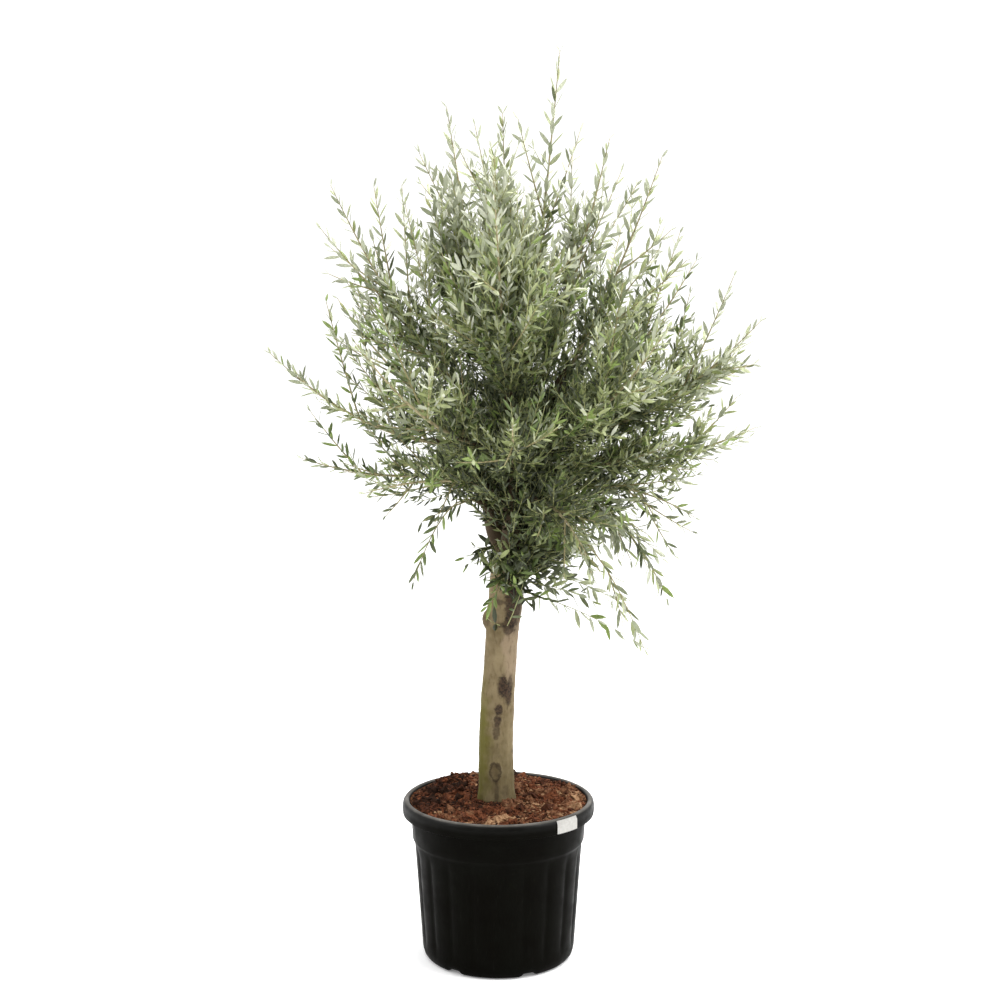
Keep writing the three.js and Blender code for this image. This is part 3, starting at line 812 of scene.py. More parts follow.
GROUPS = Sizes(mottle=mottle_group(), patch=patch_group(), grain=grain_group())


def use(tree, group, inputs, output=0):
    """Places a node group in a material."""
    return add(tree, "ShaderNodeGroup", inputs, output=output, node_tree=group)


def new_material(name, roughness, specular):
    """A material, its tree, its shader's inputs and the piece's own coordinates."""
    material = bpy.data.materials.new(name)
    material.use_nodes = True
    tree = material.node_tree
    shader = tree.nodes["Principled BSDF"]
    shader.inputs["Roughness"].default_value = roughness
    shader.inputs["Specular IOR Level"].default_value = specular
    place = add(tree, "ShaderNodeTexCoord", {}, output="Object")
    return material, tree, shader.inputs, place


def mottled(tree, place, scale, sharpness, light, dark):
    """A colour in soft blotches between a light and a dark one."""
    tones = {"Vector": place, "Scale": scale, "Sharpness": sharpness, "Light": light, "Dark": dark}
    return use(tree, GROUPS.mottle, tones, "Color")


def relief(tree, place, scale, strength, depth, stretch=(1, 1, 1)):
    """The normal of a fine grain."""
    grain = {"Vector": place, "Stretch": stretch, "Scale": scale, "Strength": strength, "Depth": depth}
    return use(tree, GROUPS.grain, grain, "Normal")


def plain_material(name, finish, tones, grain):
    """A mottled material with a grain: roughness and specular, then what mottled and relief take."""
    material, tree, shader, place = new_material(name, *finish)
    feed(tree, shader["Base Color"], mottled(tree, place, *tones))
    feed(tree, shader["Normal"], relief(tree, place, *grain))
    return material


# ---------------------------------------------------------------- materials


def floor_paint():
    material, tree, shader, place = new_material("pale floor", 0.9, 0.1)
    tones = (0.97, 0.97, 0.97, 1), (0.95, 0.95, 0.95, 1)
    feed(tree, shader["Base Color"], mottled(tree, place, 3.0, 0.2, *tones))
    shader["Emission Color"].default_value = (1, 1, 1, 1)
    shader["Emission Strength"].default_value = STUDIO.floor_glow
    return material


def black_plastic():
    """Satin black with a little dust, scuffs down the wall, a top lip painted lighter as dust and painted
    highlight, and the mould's fine grain.
    """
    material, tree, shader, place = new_material("black plastic", 0.34, 0.035)
    dust = {"Vector": place, "Scale": 14.0, "Sharpness": 0.25, "Light": rgb(8, 8, 5), "Dark": rgb(5, 4, 2)}
    drawn = {"Vector": place, "Stretch": (1, 1, 0.05), "Scale": 160.0, "Strength": 0.12, "Depth": 0.0004}
    scuffs = ramp(tree, use(tree, GROUPS.grain, drawn, "Mask"), 0.60, 0.72, 0.0, 0.5)
    colour = blend(tree, scuffs, use(tree, GROUPS.mottle, dust, "Color"), rgb(15, 15, 12))
    height = add(tree, "ShaderNodeSeparateXYZ", {0: place}, output="Z")
    # Painted highlight: the lip's top is laid lighter in dusty patches, standing in for the rim's
    # reflection as well as dust.
    patchy_dust_and_highlight = ramp(tree, use(tree, GROUPS.mottle, dust, "Mask"), 0.1, 0.9, 0.5, 1.0)
    lip = ramp(tree, height, 0.3950, 0.3998, 0.0, 0.9)
    feed(tree, shader["Base Color"], lay(tree, lip, patchy_dust_and_highlight, colour, rgb(112, 108, 102)))
    wear = use(tree, GROUPS.mottle, dict(dust, Scale=30.0), "Mask")
    feed(tree, shader["Roughness"], ramp(tree, wear, 0, 1, 0.36, 0.52))
    feed(tree, shader["Specular IOR Level"], ramp(tree, height, 0.374, 0.399, 0.020, 0.15))
    feed(tree, shader["Normal"], relief(tree, place, 900.0, 0.25, 0.0003))
    return material


def white_card():
    """Matt paper with faint fibres and a slightly greyed surface."""
    tones = (160.0, 0.2, rgb(174, 172, 168), rgb(162, 160, 155))
    return plain_material("white card", (0.65, 0.3), tones, (1500.0, 0.2, 0.0002))


# Dark places on the bark: height, turn, reach across and up, and how dark each is. Most are old pruning
# knots; the first two are painted shade below the fork on the front right, and the narrow one at 0.424
# and 271 is painted shade in the crease between two root flares.
DARK_MARKS = [
    (0.975, 307, 0.038, 0.085, 0.92),
    (0.890, 302, 0.023, 0.060, 0.90),
    (0.838, 288, 0.015, 0.020, 0.80),
    (0.846, 305, 0.010, 0.007, 0.50),
    (0.842, 262, 0.010, 0.006, 0.40),
    (0.900, 250, 0.011, 0.007, 0.60),
    (0.962, 258, 0.006, 0.005, 0.50),
    (0.850, 189, 0.012, 0.016, 0.55),
    (0.712, 278, 0.010, 0.003, 0.50),
    (0.688, 284, 0.013, 0.028, 0.95),
    (0.670, 306, 0.008, 0.032, 0.85),
    (0.694, 312, 0.006, 0.022, 0.65),
    (0.631, 274, 0.010, 0.014, 0.90),
    (0.604, 272, 0.009, 0.015, 0.85),
    (0.576, 269, 0.009, 0.018, 0.62),
    (0.424, 271, 0.005, 0.030, 0.45),
    (0.424, 300, 0.009, 0.016, 0.30),
    (0.600, 120, 0.015, 0.020, 0.75),
    (0.780, 60, 0.014, 0.022, 0.75),
    (0.520, 20, 0.006, 0.010, 0.60),
]


# Patches of colour on the bark, each laid over those before: the place, reach, raggedness and grain of
# each, how strong it is, and its colour.
BARK_PATCHES = Sizes(
    # The first is pinker bark on the front right, laid lighter there as painted light.
    pink=Sizes(
        form=(on_trunk(0.790, 315), (0.030, 0.045, 0.110), 0.6, 30.0), share=0.55, colour=rgb(150, 131, 109)
    ),
    bloom=Sizes(
        form=((-0.050, -0.012, 0.540), (0.034, 0.055, 0.190), 0.5, 38.0), share=0.85, colour=rgb(84, 80, 22)
    ),
    damp=Sizes(
        form=((-0.005, 0.0, 0.380), (0.075, 0.075, 0.042), 0.6, 50.0), share=0.18, colour=rgb(48, 38, 25)
    ),
)


def patch(tree, vector, place, reach, raggedness, grain, output="Distance"):
    """A ragged patch: its mask, or how far off its middle each place is."""
    inputs = {"Vector": vector, "Place": place, "Reach": reach, "Raggedness": raggedness, "Grain": grain}
    return use(tree, GROUPS.patch, inputs, output)


def marked(tree, place, colour):
    """Lays the dark pruning knots, painted shade below the fork and in a crease, and the scar of a lost
    limb over the bark's colour.
    """
    # The knots' dark tone also paints the shade below the fork and in the crease low on the front.
    knot_and_shade_dark = mottled(tree, place, 190.0, 0.14, rgb(64, 47, 34), rgb(26, 19, 14))
    for height, turn, across, tall, dark in DARK_MARKS:
        away = patch(tree, place, on_trunk(height, turn), (across, 0.030, tall), 0.5, 110.0)
        colour = blend(tree, ramp(tree, away, 1.32, 0.72, 0.0, dark), colour, knot_and_shade_dark)
    scar = (on_trunk(SCAR.height, SCAR.turn), (SCAR.width, 0.03, SCAR.tall), 0.6, 90.0)
    away = patch(tree, place, *scar)
    colour = blend(tree, ramp(tree, away, 1.0, 0.6, 0.0, 0.28), colour, rgb(76, 59, 40))
    ring = maths(tree, "MULTIPLY", ramp(tree, away, 0.55, 0.90), ramp(tree, away, 1.30, 1.0))
    return lay(tree, ring, 0.70, colour, rgb(46, 35, 24))


def bark_skin():
    """Grey-beige bark with long fine wrinkles, dark pruning knots, a green bloom low on one side, a pinker
    patch partly painted light, and painted shade at the trunk's head and below the fork.
    """
    material, tree, shader, place = new_material("olive bark", 0.85, 0.25)
    pink, bloom, damp = BARK_PATCHES.pink, BARK_PATCHES.bloom, BARK_PATCHES.damp
    colour = mottled(tree, place, 16.0, 0.24, rgb(126, 111, 83), rgb(94, 81, 55))
    pale = use(tree, GROUPS.mottle, {"Vector": place, "Scale": 60.0, "Sharpness": 0.20}, "Mask")
    colour = lay(tree, pale, 0.28, colour, rgb(144, 130, 101))
    # A pinker patch on the front right, partly painted light.
    colour = lay(tree, patch(tree, place, *pink.form, "Mask"), pink.share, colour, pink.colour)
    wrinkles = {"Vector": place, "Stretch": (1, 1, 0.26), "Scale": 170.0, "Strength": 0.50, "Depth": 0.0014}
    lines = ramp(tree, use(tree, GROUPS.grain, wrinkles, "Mask"), 0.48, 0.34, 0.0, 0.42)
    colour = blend(tree, lines, colour, rgb(78, 64, 44))
    lenticels = {"Vector": place, "Stretch": (0.35, 0.35, 1.6), "Scale": 170.0}
    dots = ramp(tree, use(tree, GROUPS.grain, lenticels, "Mask"), 0.64, 0.74, 0.0, 0.35)
    colour = blend(tree, dots, colour, rgb(84, 66, 46))
    height = add(tree, "ShaderNodeSeparateXYZ", {0: place}, output="Z")
    # Painted shade: the trunk's head darkens under the crown.
    colour = blend(tree, ramp(tree, height, 0.97, 1.06, 0.0, 0.85), colour, rgb(60, 46, 33))
    colour = blend(tree, ramp(tree, height, 0.66, 0.44, 0.0, 0.35), colour, rgb(92, 84, 50))
    green = ramp(tree, patch(tree, place, *bloom.form), 1.35, 0.45, 0.0, bloom.share)
    colour = blend(tree, green, colour, bloom.colour)
    colour = lay(tree, patch(tree, place, *damp.form, "Mask"), damp.share, colour, damp.colour)
    feed(tree, shader["Base Color"], marked(tree, place, colour))
    feed(tree, shader["Normal"], use(tree, GROUPS.grain, wrinkles, "Normal"))
    return material


def twig_bark(name, light, dark):
    """The smooth skin of young wood."""
    return plain_material(name, (0.7, 0.3), (90.0, 0.2, light, dark), (600.0, 0.3, 0.0003))


def leaf_skin(name, colour, roughness, specular):
    """A leaf's surface, slightly uneven in tone, with the fine relief of its veins."""
    light = *(min(1.0, part * 1.16) for part in colour[:3]), 1
    dark = *(part * 0.84 for part in colour[:3]), 1
    return plain_material(name, (roughness, specular), (55.0, 0.25, light, dark), (420.0, 0.2, 0.0004))


def crumbly_soil():
    """Moist bark soil, from nearly black gaps to reddish crumbs."""
    material, tree, shader, place = new_material("bark soil", 0.95, 0.05)
    colour = mottled(tree, place, 110.0, 0.16, rgb(70, 42, 28), rgb(20, 12, 8))
    fibres = use(tree, GROUPS.mottle, {"Vector": place, "Scale": 260.0, "Sharpness": 0.06}, "Mask")
    flecks = ramp(tree, fibres, 0.7, 1.0)
    feed(tree, shader["Base Color"], lay(tree, flecks, 0.35, colour, rgb(142, 98, 66)))
    feed(tree, shader["Normal"], relief(tree, place, 240.0, 0.9, 0.003))
    return material


def chip_bark(name, light, dark):
    """One tone of bark chip, with the grain of its fibres."""
    return plain_material(name, (0.9, 0.08), (180.0, 0.18, light, dark), (700.0, 0.6, 0.0008, (1, 0.3, 1)))


# ---------------------------------------------------------------- pot and label


def wall_rings():
    """The fluted wall between the rounded foot and the collar, in even rings."""
    (low_radius, low), (high_radius, high) = POT_CORNER[-1], POT_LEDGE[0]
    shares = np.linspace(0, 1, POT_WALL_RINGS + 2)[1:-1]
    return [(low_radius + (high_radius - low_radius) * s, low + (high - low) * s) for s in shares]


def draw_rings(profile, sides):
    """Extrudes an open ring from one radius and height to the next, then closes both ends."""
    (radius, height), *rest = profile
    clear_selection()
    bpy.ops.mesh.primitive_circle_add(vertices=sides, radius=radius, fill_type="NOTHING")
    bpy.ops.object.mode_set(mode="EDIT")
    bpy.ops.mesh.select_all(action="SELECT")
    bpy.ops.transform.translate(value=(0, 0, height))
    for next_radius, next_height in rest:
        rise = {"value": (0, 0, next_height - height)}
        bpy.ops.mesh.extrude_region_move(TRANSFORM_OT_translate=rise)
        share = next_radius / radius
        bpy.ops.transform.resize(value=(share, share, 1), center_override=(0, 0, 0))
        radius, height = next_radius, next_height
    bpy.ops.mesh.select_all(action="SELECT")
    bpy.ops.mesh.fill_holes(sides=0)
    bpy.ops.mesh.normals_make_consistent(inside=False)
    bpy.ops.object.mode_set(mode="OBJECT")


def flute_weights(places):
    """How far each place of the pot sinks into a flute, from 0 to 1."""
    radius = np.hypot(places[:, 0], places[:, 1])
    turn = np.arctan2(places[:, 1], places[:, 0])
    across = np.abs(np.sin(turn * POT.flutes / 2))
    valley = (1 - across) ** 1.6
    rise = np.clip((places[:, 2] - POT.flute_low) / POT.flute_fade, 0, 1)
    fall = np.clip((POT.flute_high - places[:, 2]) / POT.flute_fade, 0, 1)
    outside = radius > np.interp(places[:, 2], (0, POT.flute_high), (0.186, 0.2065))
    return valley * np.minimum(rise, fall) * outside


def drain_ways():
    """The level direction of each drain from the pot's middle."""
    return [round_about(POT.first_drain + 360 * number / POT.drains) for number in range(POT.drains)]


def drain_weights(places):
    """How much of a drain's depth the underside rises at each place."""
    weights = np.zeros(len(places))
    outside = np.hypot(places[:, 0], places[:, 1]) > POT_CORNER[1][0] - 0.0003
    low = (places[:, 2] < POT.notch_top) & (outside | (places[:, 2] < POT.floor - 0.001))
    for x, y in drain_ways():
        ahead = places[:, 0] * x + places[:, 1] * y
        aside = np.abs(places[:, 1] * x - places[:, 0] * y)
        across = np.clip((POT.drain_width / 2 - aside) / POT.notch_edge + 0.5, 0, 1)
        weights += across * (ahead > POT.drain_inner) * low
    return weights * np.clip((POT.notch_top - places[:, 2]) / POT.notch_fade, 0, 1)


def drill_drains(pot):
    """Cuts the round hole of each drain through the pot's floor."""
    clear_selection()
    size = {"vertices": 24, "radius": POT.hole_radius, "depth": 3 * POT.floor}
    for x, y in drain_ways():
        bpy.ops.mesh.primitive_cylinder_add(**size, location=(POT.hole_at * x, POT.hole_at * y, POT.floor))
        drill = bpy.context.object
        apply_modifier(pot, "BOOLEAN", object=drill, operation="DIFFERENCE", solver="EXACT")
        bpy.data.objects.remove(drill, do_unlink=True)
        clear_selection()


def make_pot():
    outside = POT_UNDERSIDE + POT_CORNER + wall_rings() + POT_LEDGE + POT_COLLAR
    draw_rings(outside + POT_SKIRT + POT_ROLL + POT_MOUTH + POT_INSIDE, POT.sides)
    pot = named("nursery_pot")
    push(pot, "flutes", flute_weights(places_of(pot)), -POT.flute_depth, "NORMAL")
    push(pot, "drains", drain_weights(places_of(pot)), POT.drain_depth, "Z")
    drill_drains(pot)
    smooth_shade(pot, 40)
    finish_piece(pot, "pot_plastic", [black_plastic()], "pot")


def dress_label():
    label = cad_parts["rim_label"]
    label.data.materials.clear()
    label.data.materials.append(white_card())


# ---------------------------------------------------------------- soil


def soil_height(x, y):
    """The height of the soil's surface before its crumbs."""
    away = np.hypot(x, y)
    heights = (SOIL.seat_height, SOIL.seat_height, SOIL.shoulder_height, SOIL.edge_height)
    level = np.interp(away, (0, SOIL.seat, SOIL.shoulder, SOIL.edge), heights)
    heap = np.hypot(x - HEAP.place[0], y - HEAP.place[1]) / HEAP.reach
    return level + HEAP.height * np.exp(-heap * heap)


def make_soil_bed():
    """A thick disc, its top shaped to the soil's level and roughened."""
    top = [(SOIL.edge * share, SOIL.edge_height) for share in np.linspace(1, 0.02, SOIL.rings)]
    draw_rings([(0.02, SOIL.under), (SOIL.edge - 0.003, SOIL.under)] + top, SOIL.sides)
    bed = named("soil_bed")
    places = places_of(bed)
    upper = places[:, 2] > SOIL.under + 0.001
    lift = np.where(upper, soil_height(places[:, 0], places[:, 1]) - SOIL.edge_height, 0)
    push(bed, "dome", np.clip(lift / 0.03, 0, 1), 0.03, "Z")
    roughen(bed, 0.020, SOIL.roughness)
    roughen(bed, 0.005, SOIL.roughness / 3)
    smooth_shade(bed, 60)
    finish_piece(bed, "soil", [crumbly_soil()], "soil")


def bark_chip(number, size):
    """One broken chip of bark, modelled at the origin, as its places and faces."""
    clear_selection()
    bpy.ops.mesh.primitive_cube_add(size=1)
    chip = named(f"chip_{number}")
    bpy.ops.object.mode_set(mode="EDIT")
    bpy.ops.mesh.select_all(action="SELECT")
    bpy.ops.transform.resize(value=size)
    bpy.ops.mesh.bevel(offset=min(size) * 0.3, segments=1)
    bpy.ops.mesh.select_all(action="SELECT")
    bpy.ops.transform.vertex_random(offset=min(size) * 0.42, seed=number)
    bpy.ops.mesh.quads_convert_to_tris()
    bpy.ops.object.mode_set(mode="OBJECT")
    places = places_of(chip)
    faces = np.array([tuple(face.vertices) for face in chip.data.polygons])
    bpy.data.objects.remove(chip, do_unlink=True)
    return places, faces


def turn_matrices(chance, count, tilt):
    """Random turns about Z, each tipped over by up to a tilt in degrees."""
    turned = []
    for spin, way, lean in zip(*(chance.random(count) for _ in range(3))):
        axis = Vector((math.cos(2 * math.pi * way), math.sin(2 * math.pi * way), 0))
        tip = Matrix.Rotation(math.radians(tilt) * (2 * lean - 1), 3, axis)
        turned.append(np.array(tip @ Matrix.Rotation(2 * math.pi * spin, 3, "Z")))
    return np.array(turned)


def dampness(x, y):
    """How damp and dark the soil is at a place, from 0 to 1: most so at the back left."""
    slope = DAMP.middle + DAMP.across * x + DAMP.back * y
    patches = DAMP.patches * np.sin(31 * x + 17 * y + 1.2) * np.sin(24 * y - 13 * x + 0.4)
    return np.clip(slope + patches, 0, 1)


def scatter(chance, name, shapes, count, sizes, tilt, materials):
    """Strews copies of a few shapes over the soil as one joined piece."""
    away = np.sqrt(chance.uniform(MULCH.inner**2, MULCH.outer**2, count))
    turn = chance.uniform(0, 2 * math.pi, count)
    x, y = away * np.cos(turn), away * np.sin(turn)
    x = x + TRUNK.stations[0][1] * (away < MULCH.at_trunk)
    scale = mix(*sizes, chance.random(count) ** 2)
    turns = turn_matrices(chance, count, tilt)
    middles = np.stack([x, y, soil_height(x, y) + chance.uniform(*MULCH.proud, count)], axis=1)
    tone = chance.normal(MULCH.tone, MULCH.tone_spread, count)
    light = (1 - dampness(x, y)) * MULCH.tone_by_dryness + tone
    tint = np.clip((light * len(materials)).astype(int), 0, len(materials) - 1)
    parts = []
    for number, (places, faces) in enumerate(shapes):
        mine = np.arange(count) % len(shapes) == number
        turned = np.einsum("nij,vj->nvi", turns[mine] * scale[mine, None, None], places)
        strewn = (turned + middles[mine, None, :]).reshape(-1, 3)
        joined = copied_faces(faces, len(places), mine.sum())
        parts.append((strewn, joined, np.repeat(tint[mine], len(faces))))
    finish_piece(gathered_piece(name, parts), "soil", materials)


def make_mulch():
    chips = [
        bark_chip(1, (0.016, 0.009, 0.004)),
        bark_chip(2, (0.012, 0.010, 0.005)),
        bark_chip(3, (0.022, 0.007, 0.004)),
        bark_chip(4, (0.009, 0.008, 0.006)),
    ]
    tones = [
        chip_bark("black chip", rgb(52, 32, 22), rgb(25, 16, 11)),
        chip_bark("dark chip", rgb(82, 47, 31), rgb(40, 23, 15)),
        chip_bark("red chip", rgb(118, 71, 47), rgb(68, 38, 25)),
        chip_bark("brown chip", rgb(126, 88, 63), rgb(76, 49, 34)),
        chip_bark("tan chip", rgb(166, 132, 100), rgb(118, 85, 60)),
    ]
    clumps = [bark_chip(5, (0.017, 0.013, 0.010))]
    chance = np.random.default_rng(SEEDS.mulch)
    scatter(chance, "bark_clumps", clumps, MULCH.clumps, (0.8, 2.3), 50, tones)
    scatter(chance, "bark_chips", chips, MULCH.chips, (0.35, 1.25), 42, tones)
    scatter(chance, "bark_crumbs", chips[:2], MULCH.crumbs, (0.16, 0.40), 80, tones)


# ---------------------------------------------------------------- lines of the limbs


def on_bezier(corners, shares):
    """Places on a Bézier curve at shares of its own parameter."""
    shares = np.atleast_1d(np.asarray(shares, dtype=float))[:, None]
    level = [np.asarray(corner) + 0 * shares for corner in corners]
    while len(level) > 1:
        level = [mix(first, second, shares) for first, second in zip(level, level[1:])]
    return level[0]


def heading(corners, share):
    """The direction of a Bézier curve at a share of its own parameter."""
    before, after = on_bezier(corners, (max(0, share - 1e-4), min(1, share + 1e-4)))
    return unit(after - before)


def lengths_along(line):
    return np.concatenate([[0], np.cumsum(np.linalg.norm(np.diff(line, axis=0), axis=1))])


def even_shares(corners, shares):
    """The curve's own parameter at shares of its length."""
    fine = np.linspace(0, 1, 201)
    lengths = lengths_along(on_bezier(corners, fine))
    return np.interp(np.asarray(shares) * lengths[-1], lengths, fine)


def spaced(corners, pieces):
    """Evenly spaced places on a Bézier curve."""
    return on_bezier(corners, even_shares(corners, np.linspace(0, 1, pieces + 1)))


def length_of(corners):
    return lengths_along(on_bezier(corners, np.linspace(0, 1, 201)))[-1]


def stem_of(mass):
    """A mass's stem: its foot, the point that it bends towards, and its furthest tip."""
    foot = mix(HEART, mass.tip, LIMB.stem_foot)
    bend = mix(foot, mass.tip, 0.5) + UP * mass.bow * np.linalg.norm(mass.tip - foot) * 2
    return [foot, bend, mass.tip]


def limb_line(start, leaving, stem):
    """A limb that leaves start along one direction and reaches a mass's foot along its stem."""
    pull = np.linalg.norm(stem[0] - start) * LIMB.pull
    return [start, start + leaving * pull, stem[0] - heading(stem, 0) * pull, stem[0]]


def bough_line(stem):
    outward = unit((stem[0] - FORK) * (1, 1, 0))
    return limb_line(FORK + outward * LIMB.bough_start, unit(outward * LIMB.bough_spread + UP), stem)


def branch_line(bough, share, stem):
    own = even_shares(bough, share)
    start = on_bezier(bough, own)[0]
    leaving = unit(mix(unit(stem[0] - start), heading(bough, float(own)), LIMB.branch_follow))
    return limb_line(start, leaving, stem)


def lay_out_limbs():
    """Each mass's stem, and the bough or branch that carries it, with that limb's thickness."""
    boughs = {}
    limbs = []
    for mass in MASSES:
        mass.stem = stem_of(mass)
        if mass.share:
            line, size = branch_line(boughs[mass.bough], mass.share, mass.stem), BRANCH
            node = f"branch_{mass.name}"
        else:
            line, size = bough_line(mass.stem), BOUGH
            node = f"bough_{mass.bough}"
            boughs[mass.bough] = line
        limbs.append(Sizes(line=line, size=size, node=node, stem=mass.stem))
    return limbs


# ---------------------------------------------------------------- bark


def spline(curve, places, radii, handles=None):
    """A line of wood: places with a radius at each, and the curve's own handles if it has them."""
    line = curve.splines.new("BEZIER")
    line.bezier_points.add(len(places) - 1)
    for point, place, radius in zip(line.bezier_points, places, radii):
        point.co = place
        point.radius = radius
        point.handle_left_type = "AUTO"
        point.handle_right_type = "AUTO"
    if handles is not None:
        first, second = line.bezier_points[:2]
        first.handle_right_type = "FREE"
        second.handle_left_type = "FREE"
        first.handle_right, second.handle_left = handles
    return line


def draw_wood(limbs):
    """The trunk, its flare and all the limbs as round lines of wood, made a mesh."""
    curve = bpy.data.curves.new("wood", "CURVE")
    curve.dimensions = "3D"
    curve.bevel_depth = 1.0
    curve.bevel_resolution = 5
    curve.use_fill_caps = True
    curve.resolution_u = 14
    spline(curve, [(x, 0, z) for z, x, _ in TRUNK.stations], [radius for _, _, radius in TRUNK.stations])
    for limb in limbs:
        start, *handles, end = limb.line
        places = [start, end, on_bezier(limb.stem, LIMB.runs_on)[0]]
        radii = [limb.size.thick, limb.size.thin, STEM.thick * LIMB.end_thick]
        spline(curve, places, radii, handles)
    (base, lean, _), top, thick = TRUNK.stations[0], TRUNK.flare_top, TRUNK.flare_thick
    for turn in TRUNK.flare_turns:
        x, y = round_about(turn)
        foot = (lean + TRUNK.flare_out * x, TRUNK.flare_out * y, base)
        middle = on_trunk(mix(base, top, 0.45), turn, -thick * 1.15)
        high = on_trunk(top, turn, -thick * 1.6)
        spline(curve, [foot, middle, high], [thick, thick, thick * 0.8])
    wood = bpy.data.objects.new("wood", curve)
    bpy.context.scene.collection.objects.link(wood)
    take(wood)
    bpy.ops.object.convert(target="MESH")
    return bpy.context.object


def add_knots():
    """Lumps of old pruning knots, and the lip of the oval scar, set into the bark."""
    lumps = []
    for knot in KNOTS:
        clear_selection()
        place = on_trunk(knot.height, knot.turn, -knot.sunk)
        bpy.ops.mesh.primitive_ico_sphere_add(subdivisions=3, radius=1, location=place)
        lump = bpy.context.object
        lump.scale = (knot.width, knot.width, knot.tall)
        settle(lump)
        lumps.append(lump)
    clear_selection()
    place = on_trunk(SCAR.height, SCAR.turn, -0.0015)
    turn = (math.radians(90), 0, math.radians(SCAR.turn - 270))
    ring = dict(major_radius=1, minor_radius=SCAR.lip / SCAR.width, major_segments=40, minor_segments=12)
    bpy.ops.mesh.primitive_torus_add(location=place, rotation=turn, **ring)
    lip = bpy.context.object
    lip.scale = (SCAR.width, SCAR.tall, SCAR.width)
    settle(lip)
    return lumps + [lip]


def make_bark(limbs):
    """One skin over trunk, boughs and branches, grown together where they meet."""
    bark = join([draw_wood(limbs), *add_knots()], "bark")
    apply_modifier(bark, "REMESH", mode="VOXEL", voxel_size=TRUNK.voxel)
    apply_modifier(bark, "SMOOTH", factor=0.5, iterations=4)
    roughen(bark, 0.030, 0.0030)
    roughen(bark, 0.008, 0.0012)
    smooth_shade(bark)
    nodes = ["trunk"] + [limb.node for limb in limbs]
    finish_piece(bark, "bark", [bark_skin()], *nodes)


# ---------------------------------------------------------------- growth of the foliage


def seeded(seed):
    """The solids' own generator of numbers from 0 to 1, so that the same twigs grow here."""
    state = seed
    whole = 0xFFFFFFFF

    def draw():
        nonlocal state
        state = (state + 0x6D2B79F5) & whole
        mixed = ((state ^ (state >> 15)) * (state | 1)) & whole
        mixed ^= (mixed + ((mixed ^ (mixed >> 7)) * (mixed | 61) & whole)) & whole
        return (mixed ^ (mixed >> 14)) / 4294967296

    return draw


def square_to(along, turn):
    """Directions square to others, at turns about them."""
    level = np.cross(along, UP)
    short = np.linalg.norm(level, axis=-1, keepdims=True) < 0.05
    level = unit(np.where(short, (1.0, 0.0, 0.0), level))
    other = unit(np.cross(along, level))
    turn = np.asarray(turn)[..., None]
    return level * np.cos(turn) + other * np.sin(turn)


def distances(pieces, place):
    """The distance from a place to each straight piece between two places."""
    starts, ends = pieces
    run = ends - starts
    share = np.clip(np.sum((place - starts) * run, axis=-1) / np.sum(run * run, axis=-1), 0, 1)
    return np.linalg.norm(starts + run * share[..., None] - place, axis=-1)


def wood_points(limbs):
    """Places along trunk and limbs with their radii, close enough to test what comes near."""
    heights, leans, radii = np.array(TRUNK.stations).T
    steps = np.arange(heights[0], heights[-1], SPACE.limb_step)
    places = [np.stack([np.interp(steps, heights, leans), 0 * steps, steps], axis=1)]
    thick = [np.interp(steps, heights, radii)]
    for limb in limbs:
        count = math.ceil(length_of(limb.line) / SPACE.limb_step)
        places.append(spaced(limb.line, count))
        thick.append(np.linspace(limb.size.thick, limb.size.thin, count + 1))
    return np.concatenate(places), np.concatenate(thick)


def crown_measure(place, form):
    """How far out a place is in an egg-shaped form: 1 on its skin."""
    return np.linalg.norm((place - form.centre) / form.reach, axis=-1)


def is_off_wood(place, half_width, wood):
    middles, radii = wood
    return bool(np.all(np.linalg.norm(middles - place, axis=1) > radii + half_width + SPACE.limbs))


def space_of(index, wood):
    """The test that keeps a mass nearer its own stem than any other, in the crown and off the limbs."""
    lines = np.array([spaced(mass.stem, SPACE.stem_pieces) for mass in MASSES])
    pieces = lines[:, :-1], lines[:, 1:]

    def is_free(place, half_width):
        away = distances(pieces, place).min(axis=1)
        own = away[index]
        others = np.delete(away, index)
        if others.min() < own + SPACE.masses:
            return False
        if own > CROWN.wand and crown_measure(place, CROWN) > 1:
            return False
        return is_off_wood(place, half_width, wood)

    return is_free


def inner_space(wood):
    """The test for shoots straight from the limbs, which share the crown's middle."""

    def is_free(place, half_width):
        return crown_measure(place, CROWN) < 1 and is_off_wood(place, half_width, wood)

    return is_free


def twigs_of(mass, draw, is_free):
    """The main twigs of a mass, as root and tip, by the rule of the solids."""
    twigs = []
    length = length_of(mass.stem)
    for i in range(math.ceil(length / GROWTH.every)):
        share = mix(GROWTH.first, GROWTH.last, fraction(0.5 + i * GROWTH.step_along))
        turn = 2 * math.pi * fraction(0.5 + i * GROWTH.step_around)
        lean = math.radians(mix(*GROWTH.lean, draw()))
        full = mix(*GROWTH.length, draw()) * (1 - GROWTH.tip_loss * share)
        along = heading(mass.stem, share)
        direction = square_to(along, turn) * math.sin(lean) + along * math.cos(lean) + UP * mass.lift
        root = on_bezier(mass.stem, share)[0]
        for cut in range(GROWTH.cuts + 1):
            reach = direction * length * full * GROWTH.shorten**cut
            if all(is_free(root + reach * part, TWIG.thick) for part in GROWTH.tested):
                twigs.append((root, root + reach))
                break
    return twigs


def arched(root, tip, bow):
    """A shoot from root to tip that arches, with the points it needs."""
    bend = mix(root, tip, 0.55) - UP * bow * np.linalg.norm(tip - root)
    return [root, bend, tip]


def is_open_air(place):
    return any(crown_measure(place, gap) < 1 for gap in GAPS)


def fullness(place, mass):
    """The share of a mass's shoots with their tips here that grow."""
    if is_open_air(place):
        return 0
    least = FULL_ARMS.get(mass.name, CORE.least)
    share = np.interp(crown_measure(place, CORE), (CORE.full, CORE.open), (1, least))
    return share * SPARSE.get(mass.name, 1)


